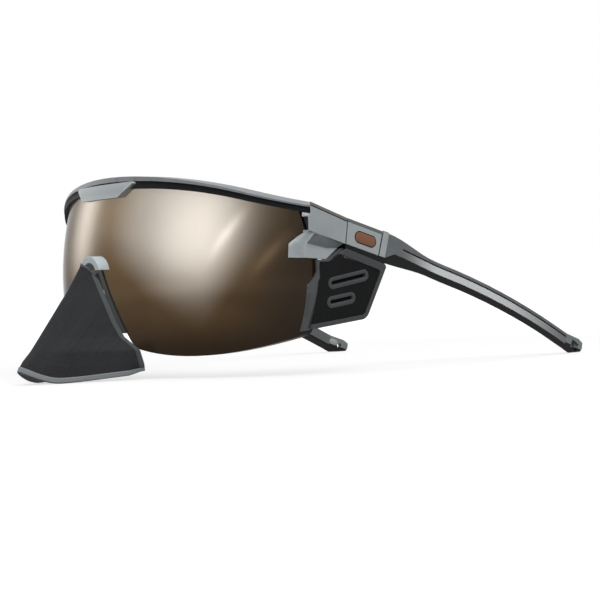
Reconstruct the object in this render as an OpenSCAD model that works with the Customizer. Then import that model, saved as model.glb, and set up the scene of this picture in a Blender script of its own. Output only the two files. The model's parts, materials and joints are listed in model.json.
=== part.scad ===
// Shield sunglasses for glacier travel, with a detachable nose guard and side shields.
// Sizes in millimetres. The glasses stand on the nose guard and on both temple tips.
// +X is the wearer's left, +Y runs back towards the wearer, Z is up.

/* [Lens] */
// Radius of the lens front, across
lens_r = 96; // [90:1:104]
// Radius of the lens front, upward
lens_rv = 108; // [100:1:122]
// Lens thickness
lens_t = 2; // [1.6:0.1:2.4]
// Half of the lens width
lens_half_w = 72.6; // [70:0.2:74]
// Lens edge under the side shields, beyond that width
lens_tuck = 0.8; // [0.5:0.1:1.2]
// Height of the widest place of the lens
lens_mid_z = 33; // [31:0.5:35]
// Radius of the side edges
lens_side_r = 55; // [50:1:62]
// Height of the lowest places of the lens edge
lens_low_z = 7.1; // [6.5:0.1:8.5]
// Distance of the lowest places from the middle
lens_low_x = 38.5; // [35:0.5:42]
// Radius of the lower edges
lens_low_r = 90; // [80:1:100]
// Radius of the lower outer corners
lens_corner_r = 4; // [3:0.5:6]

/* [Nose opening] */
// Height of the middle of the rounded top
nose_mid_z = 35; // [33:0.5:36]
// Radius of the rounded top
nose_r = 2.2; // [1.8:0.1:3]
// Slope of the sides from upright, in degrees
nose_slope = 26.7; // [24:0.1:29]
// Radius of the lower corners
nose_corner_r = 6; // [4:0.5:8]

/* [Brow bar] */
// Height of the lower edge of the bar at the middle
brow_z = 63.6; // [62:0.2:66]
// Fall of that edge to the lens sides, if its curve ran on
brow_drop = 14; // [13:0.2:15]
// Distance from the middle where the curve turns straight
brow_bend = 56; // [52:0.5:62]
// Share of the fall that follows a parabola
brow_arch = 0.526; // [0.4:0.01:0.65]
// Height of the black rim
rim_h = 2.7; // [2.2:0.1:3]
// Share of the rim height lost towards the ends
rim_dip = 0.27; // [0:0.01:0.4]
// Rim in front of and behind the lens
rim_over = 1.6; // [1.2:0.1:2]
// Depth of the groove for the lens
groove_d = 1.4; // [1:0.1:1.6]
// Height of the grey cap
cap_h = 1.7; // [1.2:0.1:2.2]
// Share of the cap height lost towards the ends
cap_dip = 0.7; // [0:0.05:0.8]
// Cap in front of the lens
cap_over = 2.2; // [1.8:0.1:2.6]
// Cap behind the lens
cap_back = 1; // [0.6:0.1:1.6]
// Reach of the bar beyond the lens sides
brow_reach = 0.9; // [0.6:0.1:1.2]
// Half of the width of the centre clip at its top
clip_top_w = 18; // [15:0.5:21]
// Half of the width of the centre clip at its foot
clip_low_w = 11.6; // [9:0.2:14]
// Height of the centre clip
clip_h = 4.9; // [4:0.1:6]
// Front of the clip over the lens front
clip_over = 3.1; // [2.8:0.1:3.6]

/* [Lugs] */
// Outer face of the lugs and temples beyond the lens edge
side_out = 2.6; // [2.4:0.1:3]
// From the lens edge back to the hinge seam
lug_len = 14.1; // [13:0.1:16]
// Hinge below the end of the brow's lower edge
hinge_drop = 6.1; // [5.7:0.1:6.7]
// Lean of the hinge axis, in degrees
pitch = 17; // [15:0.5:19]
// Lean of the seam against the axis, in degrees
seam_lean = 7.6; // [0:0.2:9]
// Top of the light covers above the hinge
cover_top = 3.2; // [2.8:0.1:3.4]
// Foot of the light covers below the hinge
cover_low = 4.1; // [3.8:0.1:4.4]
// Top of the dark strip above the hinge
strip_top = 4.1; // [3.9:0.1:4.5]
// Rise of the strip and cover towards the brow
strip_rise = 0.7; // [0.3:0.1:1]
// Thickness of the lug cover
lug_t = 3.2; // [2.8:0.1:3.4]
// Lug front over the lens front
lug_over = 4.2; // [3.8:0.1:4.6]
// Claw over the lens front
claw_over = 2; // [1.6:0.1:2.4]
// Reach of the claw over the lens, from the lens edge inward
claw_reach = 2.7; // [2:0.1:3.5]
// Rear side of the vent slot beyond the lens side
slot_back = 0.5; // [0.2:0.1:0.8]
// Front of the ledge over the slot, inside the lens side
ledge_in = 0.7; // [0.4:0.1:1]
// Height of the ledge over the slot
ledge_h = 1.3; // [1:0.1:1.8]
// Front of the end block behind the lens front
block_set = 0.6; // [0.4:0.1:1]
// Height of the lower jaw below the hinge
jaw_drop = 8.8; // [8.2:0.1:9.2]
// Step inward of the lower jaw
jaw_step = 1.4; // [1:0.1:1.8]

/* [Hinges] */
// Pivot inside the outer face
pivot_in = 7; // [6.6:0.1:7.4]
// Pivot behind the seam
pivot_back = 2.6; // [2.4:0.1:3]
// Radius of ears and knuckle
knuckle_r = 2.2; // [2:0.05:2.3]
// Pin radius
pin_r = 0.8; // [0.6:0.05:1]
// Thickness of each ear
ear_t = 1.7; // [1.4:0.1:1.8]
// Half of the height of the knuckle
knuckle_half = 1.9; // [1.6:0.1:2]

/* [Temples] */
// Length from the seam to the end
temple_len = 122.2; // [116:0.2:128]
// Half of the height at the plate
arm_h0 = 5; // [4.6:0.1:5.2]
// Half of the height along the arm
arm_h1 = 3.05; // [2.8:0.05:3.3]
// Middle of the arm below the hinge, at the plate
arm_low = 0.85; // [0.6:0.05:1]
// Fall of the arm behind the plate
arm_step = 1.25; // [1:0.05:1.6]
// Inward bow at the tip
arm_bow = 5.9; // [4:0.1:7]
// Thickness of the temple at the plate
arm_t0 = 4.3; // [4:0.1:4.4]
// Thickness of the arm at the tip
arm_t1 = 3; // [2.6:0.1:3.4]
// Inward rise of the underside, in degrees
arm_slant = 24; // [0:1:30]
// Length of the plate with its collar
plate_len = 17.6; // [16:0.2:19]
// Length of the collar
collar_len = 2.7; // [2:0.1:3.4]
// Thickness of the plate
plate_t = 1.6; // [1.3:0.1:1.9]
// Start of the light stripe
stripe_start = 25; // [23:0.5:28]
// Upper edge of the stripe above the arm's middle
stripe_top = 1.55; // [1.3:0.05:1.8]
// Lower edge of the stripe below the arm's middle
stripe_low = 0.85; // [0.6:0.05:1.1]
// Depth of the stripe
stripe_t = 1.2; // [1:0.1:1.6]
// Width of the dark groove above the stripe
line_w = 0.5; // [0.4:0.05:0.6]
// Length of the tip
tip_len = 9.7; // [9:0.1:11]
// Radius of the cord hole
cord_r = 1.1; // [0.8:0.05:1.2]

/* [Side shields] */
// Height of the lower end of the bar
bar_low_z = 13.2; // [12.6:0.1:14]
// Width of the bar
bar_w = 3.9; // [3.4:0.1:4.2]
// Bar over the lens front
bar_over = 1; // [0.8:0.1:1.4]
// Bar beyond the lens edge
bar_out = 1.2; // [1:0.1:1.4]
// Lip of the bar on the lens front, from the lens edge inward
bar_lip = 0.3; // [0.2:0.1:0.8]
// Length of the panel behind the hinge seam
panel_len = 16.5; // [14:0.1:19]
// Height of the panel's lower edge at its front
panel_low_z = 14.6; // [14:0.1:15.6]
// Rise of the lower edge to the back
panel_rise = 2.4; // [1.5:0.1:3.5]
// Forward slope of the rear edge, from top to bottom
panel_rake = 8; // [6:0.2:10]
// Inner face of the panel's foot inside the lens side
panel_in = 0.8; // [0.5:0.1:1.5]
// Panel thickness
panel_t = 1.2; // [1:0.1:1.5]
// Width of the binding
bind_w = 1.5; // [1.2:0.1:1.8]
// Width of the top band of the binding
bind_top_w = 2.4; // [2:0.1:2.8]
// Binding and vent trims proud of the panel
bind_out = 0.3; // [0.2:0.05:0.4]
// Half of the width of a vent trim
vent_half = 2; // [1.8:0.1:2.1]
// Half of the width of a vent slot
vent_slot = 0.65; // [0.5:0.05:0.8]
// Floor of the vents
vent_floor = 0.4; // [0.3:0.1:0.6]
// Length of the upper vent between its end circles
vent_up_len = 12.8; // [11:0.1:13.4]
// Length of the lower vent between its end circles
vent_low_len = 7.8; // [6:0.1:9]

/* [Nose guard] */
// Height of the top of the guard
guard_top_z = 38.3; // [37.6:0.1:38.6]
// Front of the guard's top ahead of the lens
guard_top_y = 7; // [6:0.2:8]
// Front of the guard's foot ahead of the lens
guard_low_y = 32.3; // [28:0.2:35]
// Height of the front of the foot
guard_lift = 4.2; // [3:0.1:5]
// Height of the rear corners of the foot
guard_rear = 1.4; // [0:0.2:3]
// Half of the width of the guard's foot
guard_half_w = 20.4; // [18:0.2:22]
// Half of the width where the guard's sides leave the lens
guard_side_w = 14.6; // [14:0.1:15.4]
// Height of the guard's sides along the lens
guard_drop = 24.3; // [23:0.1:25.5]
// Height of the corners where the sides flare
guard_flare_z = 9.6; // [8:0.1:11]
// Head of the guard's sides ahead of the lens
guard_stand = 3.3; // [3:0.1:4]
// Foot of the guard's sides behind the lens front
guard_back_y = 4.2; // [3:0.1:5]
// Thickness of the guard's fabric
guard_t = 1.2; // [1:0.1:1.6]
// Width of the guard's side binding
guard_bind_w = 1.3; // [1:0.1:1.6]
// Height of the band along the foot
guard_hem_h = 1.8; // [1.6:0.1:3]
// Roundness of the ridge
guard_round = 0.2; // [0.1:0.02:0.35]

/* [Nose bridge and pads] */
// Outer radius of the saddle
saddle_r = 6.6; // [6.2:0.1:7.2]
// Inner radius of the saddle
saddle_in_r = 4.4; // [4.2:0.1:4.8]
// Front of the saddle ahead of the lens
saddle_out = 4; // [3:0.1:5]
// Lip of the nose frame on the lens
nose_lip = 0.9; // [0.7:0.1:1.1]
// Nose frame inside the opening
nose_wall = 1.2; // [1:0.1:1.4]
// Nose frame over and under the lens
nose_over = 0.9; // [0.7:0.1:1.1]
// Height of the foot of the nose frame
nose_foot_z = 15.2; // [14.5:0.1:17]
// Length of a pad
pad_len = 17; // [14:0.5:18]
// Width of a pad
pad_w = 6.5; // [5.5:0.1:7]
// Thickness of a pad
pad_t = 1.8; // [1.4:0.1:2.2]
// Radius of the pad pivot
pad_pin_r = 0.7; // [0.6:0.05:0.9]

/* [Hidden] */
$fn = 240;
// Clearances
lens_fit = 0.1;
run_fit = 0.06;
press_fit = 0.02;
body_gap = 0.3;
seam_gap = 0.3;
shield_gap = 0.15;
eps = 0.01;
far = 200;

// Places that the named sizes give
lens_zc = lens_mid_z - 0.5;
edge_y = lens_r - sqrt(lens_r * lens_r - lens_half_w * lens_half_w);
side_x = lens_half_w + side_out;
brow_half = lens_half_w + brow_reach;
brow_end_z = brow_low(lens_half_w);
slot_top_z = brow_end_z - ledge_h;
hinge_y = edge_y + lug_len;
hinge_z = brow_end_z - hinge_drop;
lug_in_x = side_x - lug_t;
block_in_x = side_x - pivot_in - knuckle_r;
pivot_x = side_x - pivot_in;
jaw_z = hinge_z - jaw_drop;
tip_start = temple_len - tip_len;
foot_v = temple_len - 7.2;
side_cx = lens_half_w - lens_side_r;
edge_r = lens_side_r + lens_tuck;
top_r = lens_side_r + 0.5;
notch_z = jaw_z - shield_gap / 2;
low_c = [lens_low_x, lens_low_z + lens_low_r];
nose_n = [cos(nose_slope), sin(nose_slope)];
nose_d = [sin(nose_slope), -cos(nose_slope)];
nose_k = nose_n[1] * nose_mid_z + nose_r;

// Curves
function smooth(t) = let (k = max(0, min(1, t))) k * k * (3 - 2 * k);
function mix(a, b, t) = a + (b - a) * t;
function arc(c, r, a0, a1, n) =
    [for (i = [0 : n]) let (a = mix(a0, a1, i / n)) [c[0] + r * cos(a), c[1] + r * sin(a)]];
function flip(p) = [for (i = [len(p) - 1 : -1 : 0]) [-p[i][0], p[i][1]]];
function brow_low(x) =
    let (
        a = abs(x),
        t = min(a, brow_bend) / lens_half_w,
        slope = 2 * brow_arch * t + 4 * (1 - brow_arch) * pow(t, 3)
    )
    brow_z - brow_drop * (brow_arch * t * t + (1 - brow_arch) * pow(t, 4)
        + slope * max(0, a - brow_bend) / lens_half_w);
function rim_top(x) = brow_low(x) + rim_h * (1 - rim_dip * smooth(abs(x) / lens_half_w));
function cap_top(x) = rim_top(x) + cap_h * (1 - cap_dip * smooth(abs(x) / lens_half_w));
function lens_top(x) = brow_low(x) + groove_d;
function side_edge(z) = side_cx + sqrt(top_r * top_r - pow(z - lens_mid_z, 2));
function circles_meet(a, ra, b, rb) =
    let (
        d = norm(b - a),
        e = (b - a) / d,
        m = (ra * ra - rb * rb + d * d) / (2 * d),
        h = sqrt(ra * ra - m * m)
    )
    a + m * e + h * [e[1], -e[0]];
function angle(v) = atan2(v[1], v[0]);
function meet(p, u, q, v) =
    let (k = u[0] * v[1] - u[1] * v[0], w = q - p)
    p + u * (w[0] * v[1] - w[1] * v[0]) / k;

// Lens outline, seen from the front
side_c = [side_cx, lens_mid_z];
corner_c = circles_meet(side_c, edge_r - lens_corner_r, low_c, lens_low_r - lens_corner_r);
nose_q = nose_n * (nose_k + nose_corner_r) - low_c;
nose_qd = nose_q * nose_d;
nose_tau = -nose_qd
    + sqrt(nose_qd * nose_qd - nose_q * nose_q + pow(lens_low_r - nose_corner_r, 2));
nose_corner = nose_n * (nose_k + nose_corner_r) + nose_d * nose_tau;
top_x1 = side_edge(lens_top(lens_half_w - 4));
top_x2 = side_edge(lens_top(top_x1));
top_x = side_edge(lens_top(top_x2));
side_a = asin((lens_top(top_x) - lens_mid_z) / top_r);
notch_a = asin((notch_z - lens_mid_z) / top_r);
step_a = asin((notch_z - lens_mid_z) / edge_r);
corner_a = angle(corner_c - side_c);
low_a = angle(corner_c - low_c);
nose_a = angle(nose_corner - low_c);
lens_half = concat(
    [for (i = [0 : 19]) let (x = top_x * i / 20) [x, lens_top(x)]],
    arc(side_c, top_r, side_a, notch_a, 6),
    arc(side_c, edge_r, step_a, corner_a, 9),
    arc(corner_c, lens_corner_r, mix(corner_a, low_a, 0.2), low_a, 4),
    arc(low_c, lens_low_r, mix(low_a, nose_a, 0.07), nose_a, 13),
    arc(nose_corner, nose_corner_r, mix(nose_a, nose_slope - 180, 0.2), nose_slope - 180, 4),
    arc([0, nose_mid_z], nose_r, nose_slope, 90, 6)
);
lens_outline = concat(lens_half, [for (i = [len(lens_half) - 2 : -1 : 1])
    [-lens_half[i][0], lens_half[i][1]]]);

// Temple curve in the hinge frame: v along the temple, w along the hinge axis
function floor_w(v) = (v * sin(pitch) - hinge_z) / cos(pitch);
arm_bend = plate_len + 26.4;
arm_k = (-arm_low - arm_step - arm_h1 - floor_w(foot_v)) / pow(foot_v - arm_bend, 2);
function arm_c(v) = -arm_low - arm_step * smooth((v - plate_len - 1.5) / 26.4)
    - arm_k * pow(max(0, v - arm_bend), 2);
function arm_h(v) = mix(arm_h0, arm_h1, smooth((v - plate_len) / 21));
function arm_out(v) = side_x
    - arm_bow * pow(max(0, v - plate_len) / (temple_len - plate_len), 1.2);
function arm_thick(v) = mix(arm_t0, arm_t1, smooth((v - plate_len) / (temple_len - plate_len)));
function under_w(v) = (arm_c(v) - arm_h(v) - (side_x - arm_out(v)) * tan(arm_slant)) * cos(arm_slant);
function steps(a, b, n) = [for (i = [0 : n]) mix(a, b, i / n)];

// Solids that several pieces share
module front_view(y0, y1) {
    translate([0, y1, 0])
        rotate([90, 0, 0])
            linear_extrude(y1 - y0)
                children();
}
module side_view(x0, x1) {
    translate([x0, 0, 0])
        rotate([90, 0, 90])
            linear_extrude(x1 - x0)
                children();
}
module lens_body(off) {
    translate([0, lens_r, lens_zc])
        rotate_extrude()
            intersection() {
                translate([lens_r - lens_rv, 0])
                    circle(r = lens_rv + off);
                translate([0, -far / 2])
                    square([far, far]);
            }
}
module lens_shell(out, back) {
    difference() {
        lens_body(out);
        lens_body(-lens_t - back);
    }
}
module at_hinge() {
    translate([0, hinge_y, hinge_z])
        rotate([-pitch, 0, 0])
            children();
}
module before_seam(gap) {
    rotate([seam_lean, 0, 0])
        translate([-far / 2, -far - gap, -far / 2])
            cube([far, far, far]);
}
module behind_seam(gap) {
    rotate([seam_lean, 0, 0])
        translate([-far / 2, gap, -far / 2])
            cube([far, far, far]);
}
module on_right() {
    mirror([1, 0, 0])
        children();
}

// Lens and brow bar
module lens() {
    color("saddlebrown")
        intersection() {
            lens_shell(0, 0);
            front_view(-5, 55)
                polygon(lens_outline);
        }
}
module lens_slot(gap, lip) {
    intersection() {
        lens_shell(gap, gap);
        front_view(-5, 55)
            polygon(concat(
                [for (x = steps(-side_x, side_x, 40)) [x, lens_top(x) + lip]],
                [[side_x, 0], [-side_x, 0]]
            ));
    }
}
module brow_band() {
    front_view(-8, 55)
        polygon(concat(
            [for (x = steps(-side_x, side_x, 40)) [x, rim_top(x)]],
            [for (x = steps(side_x, -side_x, 40)) [x, brow_low(x)]]
        ));
}
module wedge(half) {
    a = asin(half / lens_r);
    translate([0, lens_r, 0])
        linear_extrude(far)
            polygon([[0, 0], [-far * sin(a), -far * cos(a)], [far * sin(a), -far * cos(a)]]);
}
module brow_rim() {
    color("dimgray")
        difference() {
            intersection() {
                lens_shell(rim_over, rim_over);
                brow_band();
                wedge(brow_half);
            }
            lens_slot(lens_fit, lens_fit);
        }
}
module brow_cap() {
    color("gray")
        intersection() {
            lens_shell(cap_over, cap_back);
            front_view(-8, 55)
                polygon(concat(
                    [for (x = steps(-side_x, side_x, 40)) [x, cap_top(x)]],
                    [for (x = steps(side_x, -side_x, 40)) [x, rim_top(x)]]
                ));
            wedge(brow_half);
        }
}
clip_top_z = rim_top(clip_top_w) - 0.1;
clip_foot_z = clip_top_z - clip_h;
module brow_clip() {
    color("lightslategray")
        difference() {
            intersection() {
                lens_body(clip_over);
                front_view(-8, 20)
                    polygon([
                        [-clip_top_w, clip_top_z - 0.6], [-clip_top_w + 1, clip_top_z],
                        [clip_top_w - 1, clip_top_z], [clip_top_w, clip_top_z - 0.6],
                        [clip_low_w, clip_foot_z], [-clip_low_w, clip_foot_z]
                    ]);
            }
            lens_body(lens_fit);
            intersection() {
                lens_body(rim_over);
                brow_band();
            }
        }
}

// End blocks with the hinge ears, lugs and hinge pins
module cover_side(top, low) {
    side_view(0, far)
        polygon([
            [-30, top + strip_rise * 30 / lug_len], [0, top], [4, top],
            [4, -low], [-30, -low]
        ]);
}
module brow_room() {
    intersection() {
        wedge(brow_half + lens_fit);
        front_view(-8, 55)
            polygon(concat(
                [for (x = steps(-side_x - 1, side_x + 1, 40)) [x, brow_low(x) - lens_fit]],
                [[side_x + 1, far], [-side_x - 1, far]]
            ));
    }
}
module vent_slot_room() {
    wedge(lens_half_w - ledge_in);
    intersection() {
        wedge(lens_half_w + slot_back);
        translate([-far / 2, -far / 2, 0])
            cube([far, far, slot_top_z]);
    }
}
module lens_room(r, gap) {
    intersection() {
        lens_shell(gap, gap);
        front_view(-5, 55)
            translate([side_cx, lens_mid_z])
                circle(r = r + gap);
    }
}
module ears() {
    for (z = [knuckle_half + 0.1, -knuckle_half - 0.1 - ear_t])
        translate([0, 0, z])
            linear_extrude(ear_t) {
                translate([pivot_x, pivot_back])
                    circle(r = knuckle_r);
                translate([pivot_x - knuckle_r, -3])
                    square([2 * knuckle_r, pivot_back + 3]);
            }
}
module end_block() {
    color("darkslategray")
        difference() {
            union() {
                intersection() {
                    at_hinge()
                        intersection() {
                            cover_side(strip_top, cover_low);
                            before_seam(0);
                            translate([block_in_x, -40, -20])
                                cube([lug_in_x - block_in_x, 60, 40]);
                        }
                    lens_body(-block_set);
                }
                intersection() {
                    at_hinge()
                        intersection() {
                            difference() {
                                cover_side(strip_top, 0);
                                cover_side(cover_top, 20);
                            }
                            before_seam(0);
                            translate([block_in_x, -40, -20])
                                cube([side_x - block_in_x, 60, 40]);
                        }
                    lens_body(lug_over);
                }
                at_hinge()
                    ears();
            }
            brow_room();
            lens_room(top_r, lens_fit);
            at_hinge()
                translate([pivot_x, pivot_back, -cover_low - 1])
                    cylinder(r = pin_r + press_fit, h = cover_low + strip_top + 2);
        }
}
module jaw_side() {
    rear = hinge_y - 0.8;
    polygon([
        [edge_y - 9, jaw_z + 1.1], [edge_y + 6.4, jaw_z], [edge_y + 9.4, jaw_z + 2.2],
        [rear, hinge_z - cover_low + 0.2], [rear - 2, hinge_z], [edge_y + 3, hinge_z + 0.6],
        [edge_y - 0.4, hinge_z + 0.6], [edge_y - 0.4, hinge_z - 0.2],
        [edge_y - 2.5, hinge_z - 1.8], [edge_y - 5.6, hinge_z - 3.7], [edge_y - 9, hinge_z - 5]
    ]);
}
module jaw_section() {
    translate([0, edge_y, hinge_z - 0.4])
        rotate([-12, 0, 0])
            front_view(-40, 40)
                polygon([
                    [0, 20], [side_x, 20], [side_x, 0], [side_x - jaw_step, -3.4],
                    [side_x - jaw_step, -30], [0, -30]
                ]);
}
module lug_solid() {
    difference() {
        union() {
            difference() {
                intersection() {
                    at_hinge()
                        intersection() {
                            cover_side(cover_top, cover_low);
                            before_seam(0);
                            translate([lug_in_x, -40, -20])
                                cube([side_x - lug_in_x, 60, 40]);
                        }
                    lens_body(lug_over);
                }
                vent_slot_room();
            }
            intersection() {
                side_view(lens_half_w - claw_reach, side_x)
                    jaw_side();
                jaw_section();
                lens_body(claw_over);
                at_hinge()
                    before_seam(0);
            }
        }
        intersection() {
            lens_body(lens_fit);
            translate([-far + lug_in_x, -20, 0])
                cube([far, far, far]);
        }
        lens_room(top_r, lens_fit);
        brow_room();
    }
}
module lug() {
    color("lightslategray")
        lug_solid();
}
module hinge_pin() {
    color("silver")
        at_hinge()
            translate([pivot_x, pivot_back, -knuckle_half - 0.1 - ear_t])
                cylinder(r = pin_r, h = 2 * (knuckle_half + 0.1 + ear_t));
}

// Temples, in the hinge frame
module arm_span(v0, v1, n, low, high) {
    side_view(0, far)
        polygon(concat(
            [for (v = steps(v0, v1, n)) [v, arm_c(v) + high * arm_h(v)]],
            [for (v = steps(v1, v0, n)) [v, arm_c(v) + low * arm_h(v)]]
        ));
}
module arm_line(v0, v1, n, low, high) {
    side_view(0, far)
        polygon(concat(
            [for (v = steps(v0, v1, n)) [v, arm_c(v) + high]],
            [for (v = steps(v1, v0, n)) [v, arm_c(v) + low]]
        ));
}
module arm_plan(v0, v1, n, deep, out) {
    translate([0, 0, -40])
        linear_extrude(80)
            polygon(concat(
                [for (v = steps(v0, v1, n)) [arm_out(v) + out, v]],
                [for (v = steps(v1, v0, n)) [arm_out(v) - min(deep, arm_thick(v)), v]]
            ));
}
module arm_under(v1) {
    translate([side_x, 0, 0])
        rotate([0, arm_slant, 0])
            side_view(-30, 10)
                polygon(concat(
                    [[-10, 60], [-10, under_w(-10)]],
                    [for (v = steps(-4, v1, 34)) [v, under_w(v)]],
                    [[v1, -60], [v1 + 30, -60], [v1 + 30, 60]]
                ));
}
module plate_solid(plate_out, collar_out) {
    intersection() {
        union() {
            translate([side_x - plate_t, -10, -cover_low])
                cube([plate_t + plate_out, 10 + plate_len - collar_len, cover_low + cover_top]);
            translate([side_x - plate_t - 0.4, plate_len - collar_len, -cover_low])
                cube([plate_t + 0.4 + collar_out, collar_len, cover_low + strip_top + 0.3]);
        }
        behind_seam(seam_gap);
    }
}
module grip_line() {
    v_mid = plate_len + 4;
    side_view(0, far)
        polygon(concat(
            [[-10, -cover_low], [plate_len, -cover_low]],
            [for (v = steps(v_mid, tip_start, 24)) [v, arm_c(v) - stripe_low]],
            [[tip_start, -40], [-10, -40]]
        ));
}
module arm_solid() {
    intersection() {
        arm_span(-4, tip_start, 34, -1, 1);
        arm_plan(-4, tip_start, 34, 10, 0);
        arm_under(tip_start);
        behind_seam(seam_gap);
    }
}
module temple_arm() {
    color("dimgray")
        at_hinge()
            difference() {
                arm_solid();
                plate_solid(1, 1);
                grip_line();
                stripe_solid(stripe_t, 1, stripe_top + line_w);
            }
}
module stripe_solid(deep, out, top) {
    intersection() {
        arm_line(stripe_start, tip_start, 24, -stripe_low, top);
        arm_plan(stripe_start - 4, tip_start + 4, 28, deep, out);
    }
}
module temple_stripe() {
    color("lightgray")
        at_hinge()
            stripe_solid(stripe_t, 0.1, stripe_top);
}
module temple_plate() {
    color("lightslategray")
        at_hinge()
            plate_solid(0, 0.25);
}
module temple_grip() {
    color("black")
        at_hinge()
            intersection() {
                arm_solid();
                grip_line();
            }
}
tip_end_w = floor_w(temple_len);
hole_v = tip_start + 5.2;
hole_w = arm_c(tip_start) - 0.15;
module temple_tip() {
    color("slategray")
        at_hinge()
            difference() {
                intersection() {
                    side_view(0, far)
                        polygon([
                            [tip_start, arm_c(tip_start) + arm_h(tip_start)],
                            [temple_len - 2.6, tip_end_w + 4.1],
                            [temple_len - 0.2, tip_end_w + 3.1],
                            [temple_len, tip_end_w + 1], [temple_len - 0.8, floor_w(temple_len - 0.8)],
                            [foot_v, floor_w(foot_v)],
                            [tip_start, arm_c(tip_start) - arm_h(tip_start)]
                        ]);
                    arm_plan(tip_start, temple_len, 3, 10, 0);
                    arm_under(temple_len - 3);
                }
                translate([arm_out(hole_v), hole_v, hole_w])
                    rotate([-16, 0, 0])
                        translate([-1, -2, -1.5])
                            cube([4, 4, 3]);
                translate([0, hole_v, hole_w])
                    rotate([0, 90, 0])
                        cylinder(r = cord_r, h = far);
            }
}
module hinge_leaf() {
    inner = side_x - arm_t0;
    color("silver")
        at_hinge()
            difference() {
                translate([0, 0, -knuckle_half])
                    linear_extrude(2 * knuckle_half) {
                        translate([pivot_x, pivot_back])
                            circle(r = knuckle_r);
                        translate([pivot_x + 0.9, pivot_back])
                            square([inner - pivot_x - 0.9, 10]);
                        translate([pivot_x, pivot_back])
                            square([inner - pivot_x, knuckle_r]);
                    }
                translate([pivot_x, pivot_back, -knuckle_half - 1])
                    cylinder(r = pin_r + run_fit, h = 2 * knuckle_half + 2);
            }
}

// Side shields
bar_top_z = jaw_z - shield_gap;
panel_top_w = arm_low + arm_h0 + eps * 6;
function top_z(y) = hinge_z + (-panel_top_w - (y - hinge_y) * sin(pitch)) / cos(pitch);
panel_tilt = 6.2;
panel_x = lens_half_w - panel_in;
panel_back_y = hinge_y + panel_len;
panel_front = [edge_y + 1.2, panel_low_z];
panel_low_back = [panel_back_y - panel_rake, panel_low_z + panel_rise];
panel_up = top_z(panel_back_y) - panel_low_z - bind_out * sin(panel_tilt);
panel_top_back = [panel_back_y, panel_low_z + panel_up / cos(panel_tilt)];
hook_end = [hinge_y - 1.6, hinge_z - 5.5];
bar_back = [[edge_y + 0.6, bar_low_z + 1], [edge_y + 2.8, lens_mid_z - 3.2],
    [edge_y + 3.5, lens_mid_z - 1.5], [edge_y + 3.4, bar_top_z - 1]];
hook_low = [[edge_y + 7.3, bar_top_z - 1], [hook_end[0] + 0.6, hook_end[1] - 0.9]];
module panel_outline(side, top, room = 0) {
    r = 3.4;
    gap = eps * 5;
    low_d = (panel_low_back - panel_front) / norm(panel_low_back - panel_front);
    back_d = (panel_top_back - panel_low_back) / norm(panel_top_back - panel_low_back);
    top_d = [cos(pitch), -sin(pitch)];
    low_p = panel_front + side * [-low_d[1], low_d[0]];
    back_p = panel_low_back + side * [-back_d[1], back_d[0]];
    top_p = panel_top_back - top * [sin(pitch), cos(pitch)];
    corner = meet(low_p, low_d, back_p, back_d);
    bend = (angle(back_d) - angle(low_d)) / 2;
    cut = (r - side) * tan(bend);
    mid = corner - cut * low_d + (r - side) * [-low_d[1], low_d[0]];
    top_c = meet(back_p, back_d, top_p, top_d);
    front_low = meet(low_p, low_d, bar_back[0] + [gap - room, 0], bar_back[1] - bar_back[0]);
    front_top = meet(top_p, top_d, hook_low[1] + [gap - room, room], hook_low[1] - hook_low[0]);
    polygon(concat(
        [front_low],
        arc(mid, r - side, angle(low_d) - 90, angle(back_d) - 90, 6),
        [top_c - 0.8 * back_d, top_c - 0.8 * top_d, front_top],
        [hook_low[0] + [gap - room, room - gap], [bar_back[3][0] + gap - room, hook_low[0][1] + room - gap]],
        [bar_back[2] + [gap - room, 0], bar_back[1] + [gap - room, 0]]
    ));
}
module panel_frame() {
    translate([panel_x, 0, panel_low_z])
        rotate([0, panel_tilt, 0])
            translate([0, 0, -panel_low_z])
                children();
}
module shield_frame() {
    color("gray") {
        difference() {
            intersection() {
                side_view(lens_half_w - 9, side_x)
                    polygon(concat(
                        [[edge_y - 9, bar_low_z]], bar_back,
                        [hook_low[0], hook_low[1], hook_end, [edge_y + 9.8, jaw_z + 1.9], [edge_y + 6.9, bar_top_z]],
                        [[edge_y + 2, bar_top_z], [edge_y + 2, lens_mid_z - 0.5],
                        [edge_y - 0.3, lens_mid_z - 4], [edge_y - 9, lens_mid_z - 4.6]]
                    ));
                front_view(-5, 80)
                    difference() {
                        translate([side_cx, lens_mid_z])
                            circle(r = edge_r + bar_out);
                        translate([side_cx, lens_mid_z])
                            circle(r = edge_r + bar_out - bar_w);
                    }
                lens_body(bar_over);
            }
            lens_room(edge_r, body_gap);
            difference() {
                front_view(-5, 80)
                    translate([side_cx, lens_mid_z])
                        circle(r = edge_r - bar_lip);
                lens_body(-lens_t);
            }
        }
    }
}
vent_up = [edge_y + 8.2, lens_mid_z - 4];
vent_low = [edge_y + 7.9, lens_mid_z - 10.1];
module stadium(place, length, turn, r) {
    translate(place)
        rotate(turn) {
            circle(r = r);
            translate([length, 0])
                circle(r = r);
            translate([0, -r])
                square([length, 2 * r]);
        }
}
module vent_shapes(r) {
    stadium(vent_up, vent_up_len, 9.3, r);
    stadium(vent_low, vent_low_len, 8, r);
}
module shield_panel() {
    color("black")
        difference() {
            panel_frame()
                side_view(0, panel_t)
                    difference() {
                        panel_outline(bind_w, bind_top_w);
                        vent_shapes(vent_half);
                    }
            lens_room(edge_r, body_gap);
        }
}
module shield_binding() {
    color("dimgray")
        difference() {
            panel_frame()
                side_view(-bind_out, panel_t + bind_out)
                    difference() {
                        panel_outline(0, 0);
                        panel_outline(bind_w, bind_top_w, 1);
                    }
            lens_room(edge_r, body_gap);
        }
}
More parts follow.
